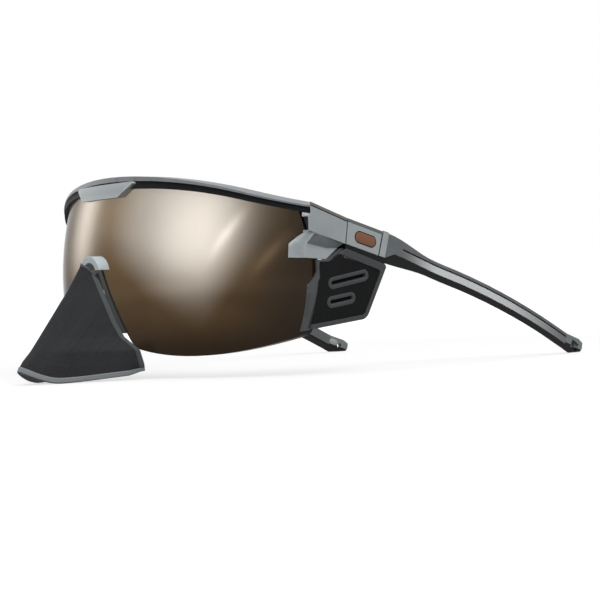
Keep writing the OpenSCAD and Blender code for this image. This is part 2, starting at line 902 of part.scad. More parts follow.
module shield_vents() {
    color("dimgray")
        panel_frame()
            difference() {
                side_view(-bind_out, panel_t + bind_out)
                    vent_shapes(vent_half);
                side_view(vent_floor, panel_t + 2 * bind_out)
                    vent_shapes(vent_slot);
            }
}

// Nose frame, saddle and pads
module nose_shape(off) {
    q = [0, nose_mid_z] + (nose_r + off) * nose_n + 60 * nose_d;
    polygon(concat(
        [q], arc([0, nose_mid_z], nose_r + off, nose_slope, 180 - nose_slope, 14), [[-q[0], q[1]]]
    ));
}
module nose_frame() {
    color("black")
        difference() {
            intersection() {
                lens_shell(nose_over, nose_over);
                front_view(-5, 20)
                    intersection() {
                        difference() {
                            nose_shape(nose_lip);
                            nose_shape(-nose_wall);
                        }
                        translate([-40, nose_foot_z])
                            square([80, 40]);
                    }
            }
            intersection() {
                lens_shell(lens_fit, lens_fit);
                front_view(-5, 20)
                    difference() {
                        translate([-60, 0])
                            square([120, 80]);
                        nose_shape(-lens_fit);
                    }
            }
        }
}
module nose_bridge() {
    color("lightsteelblue")
        difference() {
            intersection() {
                front_view(-saddle_out, 12)
                    intersection() {
                        difference() {
                            translate([0, nose_mid_z])
                                circle(r = saddle_r);
                            translate([0, nose_mid_z])
                                circle(r = saddle_in_r);
                        }
                        translate([-20, nose_mid_z + 1.8])
                            square([40, 20]);
                    }
            }
            lens_body(lens_fit);
        }
}

pad_foot_z = nose_foot_z + 1;
pad_foot_x = (nose_k - nose_n[1] * pad_foot_z) / nose_n[0];
pad_front_y = lens_t + 3.6;
pad_pivot_z = pad_len - 2.4;
module at_pad() {
    translate([pad_foot_x, 0, pad_foot_z])
        rotate([0, -nose_slope, 0])
            children();
}
module nose_pad() {
    color("black")
        at_pad()
            difference() {
                union() {
                    linear_extrude(pad_len)
                        polygon([
                            [-pad_t * 0.8, pad_front_y], [pad_t * 0.2, pad_front_y],
                            [pad_t * 0.2 + 2.6, pad_front_y + pad_w],
                            [-pad_t * 0.8 + 2.6, pad_front_y + pad_w]
                        ]);
                    translate([0, pad_front_y, pad_pivot_z])
                        rotate([-90, 0, 0])
                            cylinder(r = pad_pin_r + 1, h = 3.2);
                }
                translate([0, pad_front_y - 1, pad_pivot_z])
                    rotate([-90, 0, 0])
                        cylinder(r = pad_pin_r + run_fit, h = pad_w + 2);
            }
}
module pad_pin() {
    color("silver")
        at_pad()
            translate([0, lens_t + nose_over + 0.35, pad_pivot_z])
                rotate([-90, 0, 0])
                    cylinder(r = pad_pin_r, h = pad_front_y + 3.2 - lens_t - nose_over - 0.35);
}

// The nose guard is one sheet: t runs from its top to its foot, s from the ridge to an edge
// Rows of its edge, in parts of the sizes that they belong to
guard_rows = [[12, 33, 3], [24, 30, 53], [44, 25, 123], [61, 16, 193], [73, 5, 243]];
guard_edge = concat(
    [for (r = guard_rows) [
        guard_side_w * r[0] / 73,
        -guard_stand * r[1] / 33,
        guard_top_z - guard_drop * r[2] / 243
    ]],
    [
        [mix(guard_side_w, guard_half_w, 0.72), guard_back_y * 10 / 21, guard_flare_z],
        [mix(guard_side_w, guard_half_w, 0.88), guard_back_y * 16 / 21, guard_flare_z * 7 / 12],
        [guard_half_w, guard_back_y, 0]
    ]
);
guard_head = 0.22;
guard_hem = 6.62;
seam_s = 0.004;
guard_t_at = [0, 0.15, 0.34, 0.53, 0.68, 0.81, 0.92, 1];
function guard_pick(t) = lookup(t, [for (i = [0 : 7]) [i, guard_t_at[i]]]);
function edge_at(t, k) = lookup(t, [for (i = [0 : 7]) [i, guard_edge[i][k]]]);
function guard_point(t, s) =
    let (
        a = abs(s),
        m = guard_pick(t),
        c = guard_round,
        f = (sqrt(a * a + c * c) - c) / (sqrt(1 + c * c) - c),
        low_m = guard_pick(min(t, 5)),
        zr = mix(guard_top_z, guard_lift, low_m),
        ze = edge_at(min(t, 5), 2),
        zl = guard_lift * (1 - smooth(a / 0.4)) + guard_rear * smooth((a - 0.4) / 0.6)
    )
    [
        s * edge_at(t, 0),
        mix(mix(-guard_top_y, -guard_low_y, m), edge_at(t, 1), f),
        t < guard_hem ? mix(mix(zr, ze, f), zl + guard_hem_h, max(0, t - 5) / (guard_hem - 5))
            : zl + guard_hem_h * (7 - t) / (7 - guard_hem)
    ];
function guard_in(t, s) =
    let (
        d = 0.04,
        u = guard_point(min(7, t + d), s) - guard_point(max(0, t - d), s),
        v = guard_point(t, min(1, s + d)) - guard_point(t, max(-1, s - d)),
        n = cross(u, v),
        m = [n[0], n[1], n[2] * (1 - smooth((t - 5.4) / 1.2))]
    )
    -m / norm(m);
function guard_len(t) = norm(guard_point(t, 1) - guard_point(t, 0)) * 1.06;
function bind_s(t) = 1 - guard_bind_w / guard_len(t);
function sheet_s(kind, t, k) =
    kind == 0 ? mix(-bind_s(t), bind_s(t), k)
    : kind == 1 ? mix(-1, 1, k)
    : kind == 2 ? mix(bind_s(t) + seam_s, 1, k)
    : mix(-1, -bind_s(t) - seam_s, k);
module guard_sheet(kind, t0, t1, nt, ns, out, deep) {
    function s_of(t, j) = sheet_s(kind, t, j / ns);
    outer = [for (t = steps(t0, t1, nt)) for (j = [0 : ns])
        guard_point(t, s_of(t, j)) - out * guard_in(t, s_of(t, j))];
    inner = [for (t = steps(t0, t1, nt)) for (j = [0 : ns])
        guard_point(t, s_of(t, j)) + deep * guard_in(t, s_of(t, j))];
    m = ns + 1;
    q = len(outer);
    polyhedron(
        points = concat(outer, inner),
        faces = concat(
            [for (i = [0 : nt - 1]) for (j = [0 : ns - 1]) for (k = [0, 1])
                k == 0 ? [i * m + j, i * m + j + 1, (i + 1) * m + j]
                    : [i * m + j + 1, (i + 1) * m + j + 1, (i + 1) * m + j]],
            [for (i = [0 : nt - 1]) for (j = [0 : ns - 1]) for (k = [0, 1])
                k == 0 ? [q + i * m + j + 1, q + i * m + j, q + (i + 1) * m + j]
                    : [q + (i + 1) * m + j + 1, q + i * m + j + 1, q + (i + 1) * m + j]],
            [for (j = [0 : ns - 1]) for (k = [0, 1])
                k == 0 ? [j + 1, j, q + j] : [j + 1, q + j, q + j + 1]],
            [for (j = [0 : ns - 1]) for (k = [0, 1]) let (e = nt * m)
                k == 0 ? [e + j, e + j + 1, q + e + j] : [e + j + 1, q + e + j + 1, q + e + j]],
            [for (i = [0 : nt - 1]) for (k = [0, 1]) let (a = i * m, b = (i + 1) * m)
                k == 0 ? [a, b, q + a] : [b, q + b, q + a]],
            [for (i = [0 : nt - 1]) for (k = [0, 1]) let (a = i * m + ns, b = (i + 1) * m + ns)
                k == 0 ? [b, a, q + a] : [b, q + a, q + b]]
        ),
        convexity = 6
    );
}
module guard_panel() {
    color("darkgray")
        guard_sheet(0, guard_head + 0.01, guard_hem - 0.01, 22, 24, 0, guard_t);
}
module guard_binding() {
    out = bind_out;
    deep = guard_t + 0.2;
    color("gray") {
        guard_sheet(1, guard_hem, 7, 3, 24, out, deep);
        guard_sheet(1, 0, guard_head, 1, 12, out, deep);
        guard_sheet(2, guard_head + 0.01, guard_hem - 0.01, 22, 1, out, deep);
        guard_sheet(3, guard_head + 0.01, guard_hem - 0.01, 22, 1, out, deep);
    }
}

// The model is centred front to back
tip_back_y = hinge_y + (temple_len - 0.2) * cos(pitch) + (tip_end_w + 3.1) * sin(pitch);
mid_y = (tip_back_y - guard_low_y - bind_out) / 2;
module place() {
    translate([0, -mid_y, 0])
        children();
}

place() lens();
place() brow_rim();
place() brow_cap();
place() brow_clip();
place() nose_frame();
place() nose_bridge();
place() guard_panel();
place() guard_binding();
place() end_block();  // end_block_left
place() on_right() end_block();  // end_block_right
place() lug();  // lug_left
place() on_right() lug();  // lug_right
place() hinge_pin();  // hinge_pin_left
place() on_right() hinge_pin();  // hinge_pin_right
place() temple_arm();  // temple_arm_left
place() on_right() temple_arm();  // temple_arm_right
place() temple_stripe();  // temple_stripe_left
place() on_right() temple_stripe();  // temple_stripe_right
place() temple_plate();  // temple_plate_left
place() on_right() temple_plate();  // temple_plate_right
place() temple_grip();  // temple_grip_left
place() on_right() temple_grip();  // temple_grip_right
place() temple_tip();  // temple_tip_left
place() on_right() temple_tip();  // temple_tip_right
place() hinge_leaf();  // hinge_leaf_left
place() on_right() hinge_leaf();  // hinge_leaf_right
place() shield_frame();  // shield_frame_left
place() on_right() shield_frame();  // shield_frame_right
place() shield_panel();  // shield_panel_left
place() on_right() shield_panel();  // shield_panel_right
place() shield_binding();  // shield_binding_left
place() on_right() shield_binding();  // shield_binding_right
place() shield_vents();  // shield_vents_left
place() on_right() shield_vents();  // shield_vents_right
place() nose_pad();  // nose_pad_left
place() on_right() nose_pad();  // nose_pad_right
place() pad_pin();  // pad_pin_left
place() on_right() pad_pin();  // pad_pin_right
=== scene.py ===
import json
import math

import bmesh
import bpy
from mathutils import Matrix, Vector, noise


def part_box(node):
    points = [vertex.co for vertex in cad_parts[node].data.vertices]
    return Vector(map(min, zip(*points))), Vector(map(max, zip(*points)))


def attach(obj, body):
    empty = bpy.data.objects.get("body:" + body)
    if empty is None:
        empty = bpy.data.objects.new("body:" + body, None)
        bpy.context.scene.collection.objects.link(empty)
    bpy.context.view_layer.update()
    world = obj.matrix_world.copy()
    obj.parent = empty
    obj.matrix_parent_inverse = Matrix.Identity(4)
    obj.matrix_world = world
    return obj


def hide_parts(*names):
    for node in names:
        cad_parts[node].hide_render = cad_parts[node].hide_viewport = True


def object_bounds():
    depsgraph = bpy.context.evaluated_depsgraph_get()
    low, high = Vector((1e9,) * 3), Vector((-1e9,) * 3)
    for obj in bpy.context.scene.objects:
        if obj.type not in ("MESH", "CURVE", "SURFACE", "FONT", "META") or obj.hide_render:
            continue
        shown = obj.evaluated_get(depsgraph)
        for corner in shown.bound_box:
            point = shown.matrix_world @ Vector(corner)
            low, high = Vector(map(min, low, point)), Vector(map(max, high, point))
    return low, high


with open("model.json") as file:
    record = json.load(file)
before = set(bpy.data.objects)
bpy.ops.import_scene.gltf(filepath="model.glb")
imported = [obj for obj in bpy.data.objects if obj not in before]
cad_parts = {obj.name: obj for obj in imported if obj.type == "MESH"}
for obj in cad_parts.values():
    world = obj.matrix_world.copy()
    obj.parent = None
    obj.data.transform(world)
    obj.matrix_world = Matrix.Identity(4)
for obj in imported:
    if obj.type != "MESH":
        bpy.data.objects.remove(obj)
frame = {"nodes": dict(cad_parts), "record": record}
cadLow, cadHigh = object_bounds()
nodes = frame["nodes"]
sides = ("left", "right")
mm = 0.001
guardReach = 32.6  # the guard's foot stands this far ahead of the lens, mm
lensFrontY = cadLow.y + guardReach * mm
print("frame loaded,", len(nodes), "nodes")


# Camera at the photograph's viewing angle
camera = {
    "place": (0.474613, -0.346227, 0.026672),
    "target": (0.0, 0.020832, 0.023417),
    "roll": -2.54,  # degrees
    "lens": 96.77, "sensor": 36,  # mm
    "nearest": 0.01,
}
forward = (Vector(camera["target"]) - Vector(camera["place"])).normalized()
level = forward.cross(Vector((0, 0, 1))).normalized()
upright = level.cross(forward)
roll = math.radians(camera["roll"])
camData = bpy.data.cameras.new("camera")
camData.lens = camera["lens"]
camData.sensor_width = camera["sensor"]
camData.clip_start = camera["nearest"]
cam = bpy.data.objects.new("camera", camData)
bpy.context.collection.objects.link(cam)
turn = Matrix((
    math.cos(roll) * level + math.sin(roll) * upright,
    math.cos(roll) * upright - math.sin(roll) * level,
    -forward,
)).transposed().to_4x4()
cam.matrix_world = Matrix.Translation(camera["place"]) @ turn
bpy.context.scene.camera = cam
bpy.context.scene.view_settings.view_transform = "Standard"
print("camera set")


def linear(code):
    parts = [int(code[i:i + 2], 16) / 255 for i in (1, 3, 5)]
    return tuple(c / 12.92 if c <= 0.04045 else ((c + 0.055) / 1.055) ** 2.4 for c in parts) + (1,)


def addNode(tree, kind, settings=None, links=None):
    node = tree.nodes.new(kind)
    for key, value in (settings or {}).items():
        if isinstance(key, int) or key in node.inputs:
            node.inputs[key].default_value = value
        else:
            setattr(node, key, value)
    for key, socket in (links or {}).items():
        tree.links.new(socket, node.inputs[key])
    return node


def newMaterial(name, settings):
    material = bpy.data.materials.new(name)
    material.use_nodes = True
    tree = material.node_tree
    tree.nodes.clear()
    shader = addNode(tree, "ShaderNodeBsdfPrincipled", settings)
    addNode(tree, "ShaderNodeOutputMaterial", links={"Surface": shader.outputs[0]})
    return material, tree, shader


# Floor and backdrop: white to the eye, and the floor keeps the object's shadow
stage = {
    "sky": 0.34, "size": 8.0, "drop": 0.0002,  # how far the floor lies below the feet, metres
    "paper": "#a8a8a8",  # what the eye sees under the lift
    "bounce": "#454545",  # what the object gets back from below
    "lift": 0.66, "near": 0.2, "far": 0.55,  # the lift grows to white from near to far, metres
}


# 1 for what the eye meets, straight on, in a gloss or through the lens, and 0 for other light
def seenByEye(tree):
    path = addNode(tree, "ShaderNodeLightPath")
    seen = path.outputs["Is Camera Ray"]
    for ray in ("Is Glossy Ray", "Is Transmission Ray"):
        seen = addNode(tree, "ShaderNodeMath", {"operation": "MAXIMUM"},
                       {0: seen, 1: path.outputs[ray]}).outputs[0]
    return seen


def plainWorld():
    world = bpy.data.worlds.new("studio")
    bpy.context.scene.world = world
    world.use_nodes = True
    tree = world.node_tree
    tree.nodes.clear()
    strength = addNode(tree, "ShaderNodeMapRange", {"To Min": stage["sky"], "To Max": 1.0},
                       {"Value": seenByEye(tree)})
    sky = addNode(tree, "ShaderNodeBackground", {"Color": (1, 1, 1, 1)},
                  {"Strength": strength.outputs["Result"]})
    addNode(tree, "ShaderNodeOutputWorld", links={"Surface": sky.outputs[0]})


def whiteFloor():
    bm = bmesh.new()
    bmesh.ops.create_grid(bm, x_segments=2, y_segments=2, size=stage["size"])
    bmesh.ops.translate(bm, verts=bm.verts, vec=(0, 0, -stage["drop"]))
    mesh = bpy.data.meshes.new("floor")
    bm.to_mesh(mesh)
    bm.free()
    floor = bpy.data.objects.new("floor", mesh)
    bpy.context.collection.objects.link(floor)
    # Matt studio paper, lifted to white for the eye, more so away from the object
    material, tree, shader = newMaterial("studio_paper", {
        "Roughness": 0.9, "Specular IOR Level": 0.0, "Emission Color": (1, 1, 1, 1)})
    seen = seenByEye(tree)
    place = addNode(tree, "ShaderNodeTexCoord")
    reach = addNode(tree, "ShaderNodeVectorMath", {"operation": "LENGTH"},
                    {0: place.outputs["Object"]})
    fade = addNode(tree, "ShaderNodeMapRange", {
        "From Min": stage["near"], "From Max": stage["far"],
        "To Min": stage["lift"], "To Max": 1.0,
        "interpolation_type": "SMOOTHSTEP"}, {"Value": reach.outputs["Value"]})
    lift = addNode(tree, "ShaderNodeMath", {"operation": "MULTIPLY"},
                   {0: seen, 1: fade.outputs["Result"]})
    paper = addNode(tree, "ShaderNodeMix", {
        "data_type": "RGBA", 6: linear(stage["bounce"]), 7: linear(stage["paper"])}, {0: seen})
    tree.links.new(paper.outputs[2], shader.inputs["Base Color"])
    tree.links.new(lift.outputs[0], shader.inputs["Emission Strength"])
    mesh.materials.append(material)


plainWorld()
whiteFloor()

# Softboxes with faded edges, each facing the glasses: direction in degrees from the front
# towards the left temple and up, distance and size in metres, brightness at the middle, and
# how far the box leans over, in degrees
lamps = {
    "overhead": {"from": (20, 80), "away": 1.1, "size": (1.6, 1.6), "bright": 2.6, "lean": 0},
    "frontBox": {"from": (0, 17), "away": 1.0, "size": (1.1, 1.0), "bright": 1.0, "lean": 0},
    "farBox": {"from": (-76, 16), "away": 1.0, "size": (0.6, 0.9), "bright": 1.55, "lean": 0},
    "sideBox": {"from": (84, 45), "away": 1.1, "size": (1.0, 0.9), "bright": 5.6, "lean": 0},
    "upperStrip": {
        "from": (14.5, 16), "away": 0.9, "size": (0.045, 0.5), "bright": 4.4, "lean": -40},
    "lowerStrip": {
        "from": (33, 8), "away": 0.9, "size": (0.05, 0.56), "bright": 4.4, "lean": -48},
}
aim = Vector((0, 0, 0.035))  # half way up the front


def softbox(name, lamp):
    across, up = (math.radians(a) for a in lamp["from"])
    side = Vector((
        math.sin(across) * math.cos(up), -math.cos(across) * math.cos(up), math.sin(up)))
    data = bpy.data.lights.new(name, "AREA")
    data.shape = "RECTANGLE"
    data.size, data.size_y = lamp["size"]
    data.energy = lamp["bright"] * math.pi * data.size * data.size_y
    data.use_nodes = True
    tree = data.node_tree
    tree.nodes.clear()
    spot = addNode(tree, "ShaderNodeNewGeometry")
    centred = addNode(tree, "ShaderNodeVectorMath", {"operation": "SUBTRACT", 1: (0.5, 0.5, 0.0)},
                      {0: spot.outputs["Parametric"]})
    off = addNode(tree, "ShaderNodeVectorMath", {"operation": "ABSOLUTE"}, {0: centred.outputs[0]})
    parts = addNode(tree, "ShaderNodeSeparateXYZ", links={0: off.outputs[0]})
    fades = [addNode(tree, "ShaderNodeMapRange", {
        "From Min": 0.0, "From Max": 0.5, "To Min": 1.0, "To Max": 0.0,
        "interpolation_type": "SMOOTHSTEP"}, {"Value": parts.outputs[axis]}) for axis in ("X", "Y")]
    both = addNode(tree, "ShaderNodeMath", {"operation": "MULTIPLY"},
                   {0: fades[0].outputs["Result"], 1: fades[1].outputs["Result"]})
    glow = addNode(tree, "ShaderNodeEmission", {"Color": (1, 1, 1, 1)},
                   {"Strength": both.outputs[0]})
    addNode(tree, "ShaderNodeOutputLight", links={"Surface": glow.outputs[0]})
    light = bpy.data.objects.new(name, data)
    bpy.context.collection.objects.link(light)
    lean = Matrix.Rotation(math.radians(lamp["lean"]), 3, "Z")
    turn = side.to_track_quat("Z", "Y").to_matrix() @ lean
    light.matrix_world = Matrix.Translation(aim + side * lamp["away"]) @ turn.to_4x4()


for name, lamp in lamps.items():
    softbox(name, lamp)
print("floor and lights set")


# A wave texture's bands repeat every 2 pi / 20 of its coordinate
def bandScale(size):
    return math.pi / 10 / (size * mm)


# Injection-moulded and lacquered plastic: fine spark-eroded grit and faint clouding of the gloss.
# Rounded edges are painted a little lighter, partly as wear from handling and partly as a painted
# highlight along the edges
plastic = {"cloud": 9, "vary": 0.06, "paintedShadeMost": 0.85, "bump": 0.5}  # the cloud in mm


def mouldedPlastic(name, finish):
    material, tree, shader = newMaterial(name, {
        "IOR": 1.5, "Metallic": finish.get("metallic", 0.0),
        "Specular IOR Level": finish.get("shine", 0.5),
        "Coat Weight": finish.get("coat", 0.0), "Coat Roughness": 0.2})
    place = addNode(tree, "ShaderNodeTexCoord").outputs["Object"]
    grit = addNode(tree, "ShaderNodeTexNoise",
                   {"Scale": 1 / (finish["grit"] * mm), "Detail": 2.0}, {"Vector": place})
    cloud = addNode(tree, "ShaderNodeTexNoise", {
        "Scale": 1 / (plastic["cloud"] * mm), "Detail": 3.0, "Roughness": 0.6}, {"Vector": place})
    tone = addNode(tree, "ShaderNodeMix", {
        "data_type": "RGBA", 6: linear(finish["colour"]), 7: linear(finish["shade"])},
        {0: cloud.outputs["Fac"]})
    # Rounded edges lighter: wear and a painted highlight
    edge = addNode(tree, "ShaderNodeAttribute", {"attribute_name": "edge"})
    edgeWearAndHighlight = addNode(tree, "ShaderNodeMath", {"operation": "MULTIPLY"},
                  {0: edge.outputs["Fac"], 1: cloud.outputs["Fac"]})
    worn = addNode(tree, "ShaderNodeMix", {"data_type": "RGBA", 7: linear(finish["worn"])},
                   {0: edgeWearAndHighlight.outputs[0], 6: tone.outputs[2]})
    if "fade" in finish:  # painted shade: the colour darkens towards another by the distance back
        axes = addNode(tree, "ShaderNodeSeparateXYZ", links={0: place})
        for start, end in finish["fade"]:
            back = addNode(tree, "ShaderNodeMapRange", {
                "From Min": start * mm, "From Max": end * mm,
                "To Min": 0.0, "To Max": plastic["paintedShadeMost"],
                "interpolation_type": "SMOOTHSTEP"}, {"Value": axes.outputs["Y"]})
            worn = addNode(tree, "ShaderNodeMix", {"data_type": "RGBA", 7: linear(finish["under"])},
                           {0: back.outputs["Result"], 6: worn.outputs[2]})
    gloss = addNode(tree, "ShaderNodeMapRange", {
        "To Min": finish["rough"] - plastic["vary"], "To Max": finish["rough"] + plastic["vary"]},
        {"Value": cloud.outputs["Fac"]})
    bump = addNode(tree, "ShaderNodeBump", {
        "Strength": plastic["bump"], "Distance": finish["depth"] * mm},
        {"Height": grit.outputs["Fac"]})
    tree.links.new(worn.outputs[2], shader.inputs["Base Color"])
    tree.links.new(gloss.outputs["Result"], shader.inputs["Roughness"])
    tree.links.new(bump.outputs["Normal"], shader.inputs["Normal"])
    return material


# Woven cloth: two sets of threads that pass over and under each other, a soft nap and a
# slight sheen. The threads are drawn coarser than real so that they show.
clothLook = {
    "wander": 0.6, "nap": 1.1, "cloud": 14, "faded": 0.35, "threadDepth": 0.12, "napDepth": 0.3}


def wovenCloth(name, cloth):
    material, tree, shader = newMaterial(name, {
        "Roughness": 0.92, "Specular IOR Level": 0.2,
        "Sheen Weight": cloth["sheen"], "Sheen Roughness": 0.5, "Sheen Tint": linear(cloth["nap"])})
    if cloth["map"] == "UV":
        place = addNode(tree, "ShaderNodeUVMap", {"uv_map": "weave"}).outputs["UV"]
    else:
        spot = addNode(tree, "ShaderNodeTexCoord").outputs["Object"]
        place = addNode(tree, "ShaderNodeMapping", {"Rotation": (0, math.radians(90), 0)},
                        {"Vector": spot}).outputs["Vector"]
    threads = [addNode(tree, "ShaderNodeTexWave", {
        "bands_direction": way, "Scale": bandScale(cloth["thread"]),
        "Distortion": clothLook["wander"], "Detail": 1.0}, {"Vector": place}) for way in ("X", "Y")]
    weave = addNode(tree, "ShaderNodeMath", {"operation": "MULTIPLY"},
                    {0: threads[0].outputs["Fac"], 1: threads[1].outputs["Fac"]})
    nap = addNode(tree, "ShaderNodeTexNoise", {
        "Scale": 1 / (clothLook["nap"] * mm), "Detail": 4.0, "Roughness": 0.7}, {"Vector": place})
    cloud = addNode(tree, "ShaderNodeTexNoise",
                    {"Scale": 1 / (clothLook["cloud"] * mm), "Detail": 3.0}, {"Vector": place})
    fade = addNode(tree, "ShaderNodeMapRange", {
        "From Min": 0.45, "From Max": 0.8, "To Min": 0.0, "To Max": clothLook["faded"]},
        {"Value": cloud.outputs["Fac"]})
    grain = addNode(tree, "ShaderNodeMix", {"data_type": "FLOAT", 0: cloth["nappy"]},
                    {2: weave.outputs[0], 3: nap.outputs["Fac"]})
    thread = addNode(tree, "ShaderNodeMix", {
        "data_type": "RGBA", 6: linear(cloth["dark"]), 7: linear(cloth["light"])},
        {0: grain.outputs[0]})
    worn = addNode(tree, "ShaderNodeMix", {"data_type": "RGBA", 7: linear(cloth["faded"])},
                   {0: fade.outputs["Result"], 6: thread.outputs[2]})
    bump = addNode(tree, "ShaderNodeBump", {
        "Strength": 0.7, "Distance": clothLook["threadDepth"] * mm}, {"Height": weave.outputs[0]})
    soft = addNode(tree, "ShaderNodeBump", {
        "Strength": 0.3, "Distance": clothLook["napDepth"] * mm},
        {"Height": nap.outputs["Fac"], "Normal": bump.outputs["Normal"]})
    tree.links.new(worn.outputs[2], shader.inputs["Base Color"])
    tree.links.new(soft.outputs["Normal"], shader.inputs["Normal"])
    return material


# Moulded silicone: translucent and soft-edged, with a dusty matt skin
silicone = {"scatter": 2, "dust": 3.5, "vary": 0.08, "grain": 0.5, "grainDepth": 0.03}


def siliconeRubber(name, skin):
    material, tree, shader = newMaterial(name, {
        "IOR": 1.42, "Subsurface Weight": skin["inside"],
        "Subsurface Scale": silicone["scatter"] * mm, "Subsurface Radius": (1.0, 0.9, 0.9)})
    place = addNode(tree, "ShaderNodeTexCoord").outputs["Object"]
    dust = addNode(tree, "ShaderNodeTexNoise", {
        "Scale": 1 / (silicone["dust"] * mm), "Detail": 4.0, "Roughness": 0.65}, {"Vector": place})
    tone = addNode(tree, "ShaderNodeMix", {
        "data_type": "RGBA", 6: linear(skin["colour"]), 7: linear(skin["shade"])},
        {0: dust.outputs["Fac"]})
    gloss = addNode(tree, "ShaderNodeMapRange", {
        "To Min": skin["rough"] - silicone["vary"], "To Max": skin["rough"] + silicone["vary"]},
        {"Value": dust.outputs["Fac"]})
    grain = addNode(tree, "ShaderNodeTexNoise",
                    {"Scale": 1 / (silicone["grain"] * mm), "Detail": 1.0}, {"Vector": place})
    bump = addNode(tree, "ShaderNodeBump", {
        "Strength": 0.25, "Distance": silicone["grainDepth"] * mm},
        {"Height": grain.outputs["Fac"]})
    tree.links.new(tone.outputs[2], shader.inputs["Base Color"])
    tree.links.new(gloss.outputs["Result"], shader.inputs["Roughness"])
    tree.links.new(bump.outputs["Normal"], shader.inputs["Normal"])
    return material


# Turned stainless steel: fine rings of tool marks
turning = {"colour": "#b9bcbe", "pitch": 0.3, "depth": 0.01, "gloss": (0.22, 0.4)}


def turnedSteel():
    material, tree, shader = newMaterial("turned_stainless_steel", {
        "Base Color": linear(turning["colour"]), "Metallic": 1.0})
    place = addNode(tree, "ShaderNodeTexCoord").outputs["Object"]
    rings = addNode(tree, "ShaderNodeTexWave", {
        "bands_direction": "Z", "Scale": bandScale(turning["pitch"]), "Distortion": 1.0},
        {"Vector": place})
    gloss = addNode(tree, "ShaderNodeMapRange", {
        "To Min": turning["gloss"][0], "To Max": turning["gloss"][1]},
        {"Value": rings.outputs["Fac"]})
    bump = addNode(tree, "ShaderNodeBump", {"Strength": 0.3, "Distance": turning["depth"] * mm},
                   {"Height": rings.outputs["Fac"]})
    tree.links.new(gloss.outputs["Result"], shader.inputs["Roughness"])
    tree.links.new(bump.outputs["Normal"], shader.inputs["Normal"])
    return material


# Polycarbonate with a bronze mirror flash. Its colour is painted light: two broad upright pale
# zones high on the lens are painted reflections of the softboxes, and the colour darkens to dark
# brown at the foot and the sides as painted shade
coatingWithPaintedLight = {
    # the side tone is the painted shade towards the sides
    "foot": "#30251a", "low": "#58452f", "middle": "#7a6346", "top": "#98805f", "side": "#2d2722",
    # the pale colour of the painted reflections
    "paintedHighlight": "#d0c8be", "tint": "#857c72",
    "mirror": 0.6, "rough": 0.14, "vary": 0.04, "haze": 18,
    # heights of the foot and top tones in mm, and the tones between them; the darkening towards the
    # foot is painted shade
    "tones": (8, 60), "stops": ((0.3, "low"), (0.65, "middle")),
    # painted reflection zones: middle, reach to each side across the width, and strength
    "highlightZones": ((43, 54, 30, 1.0), (-15, 40, 22, 0.8)),
    "highlightFoot": 12, "highlightTop": 51, "highlightFade": (0.98, 1.9),
    # painted shade towards the sides: where it starts and ends across, mm, and how dark
    "sideFrom": 44, "sideTo": 73, "paintedSideShade": 0.9,
}


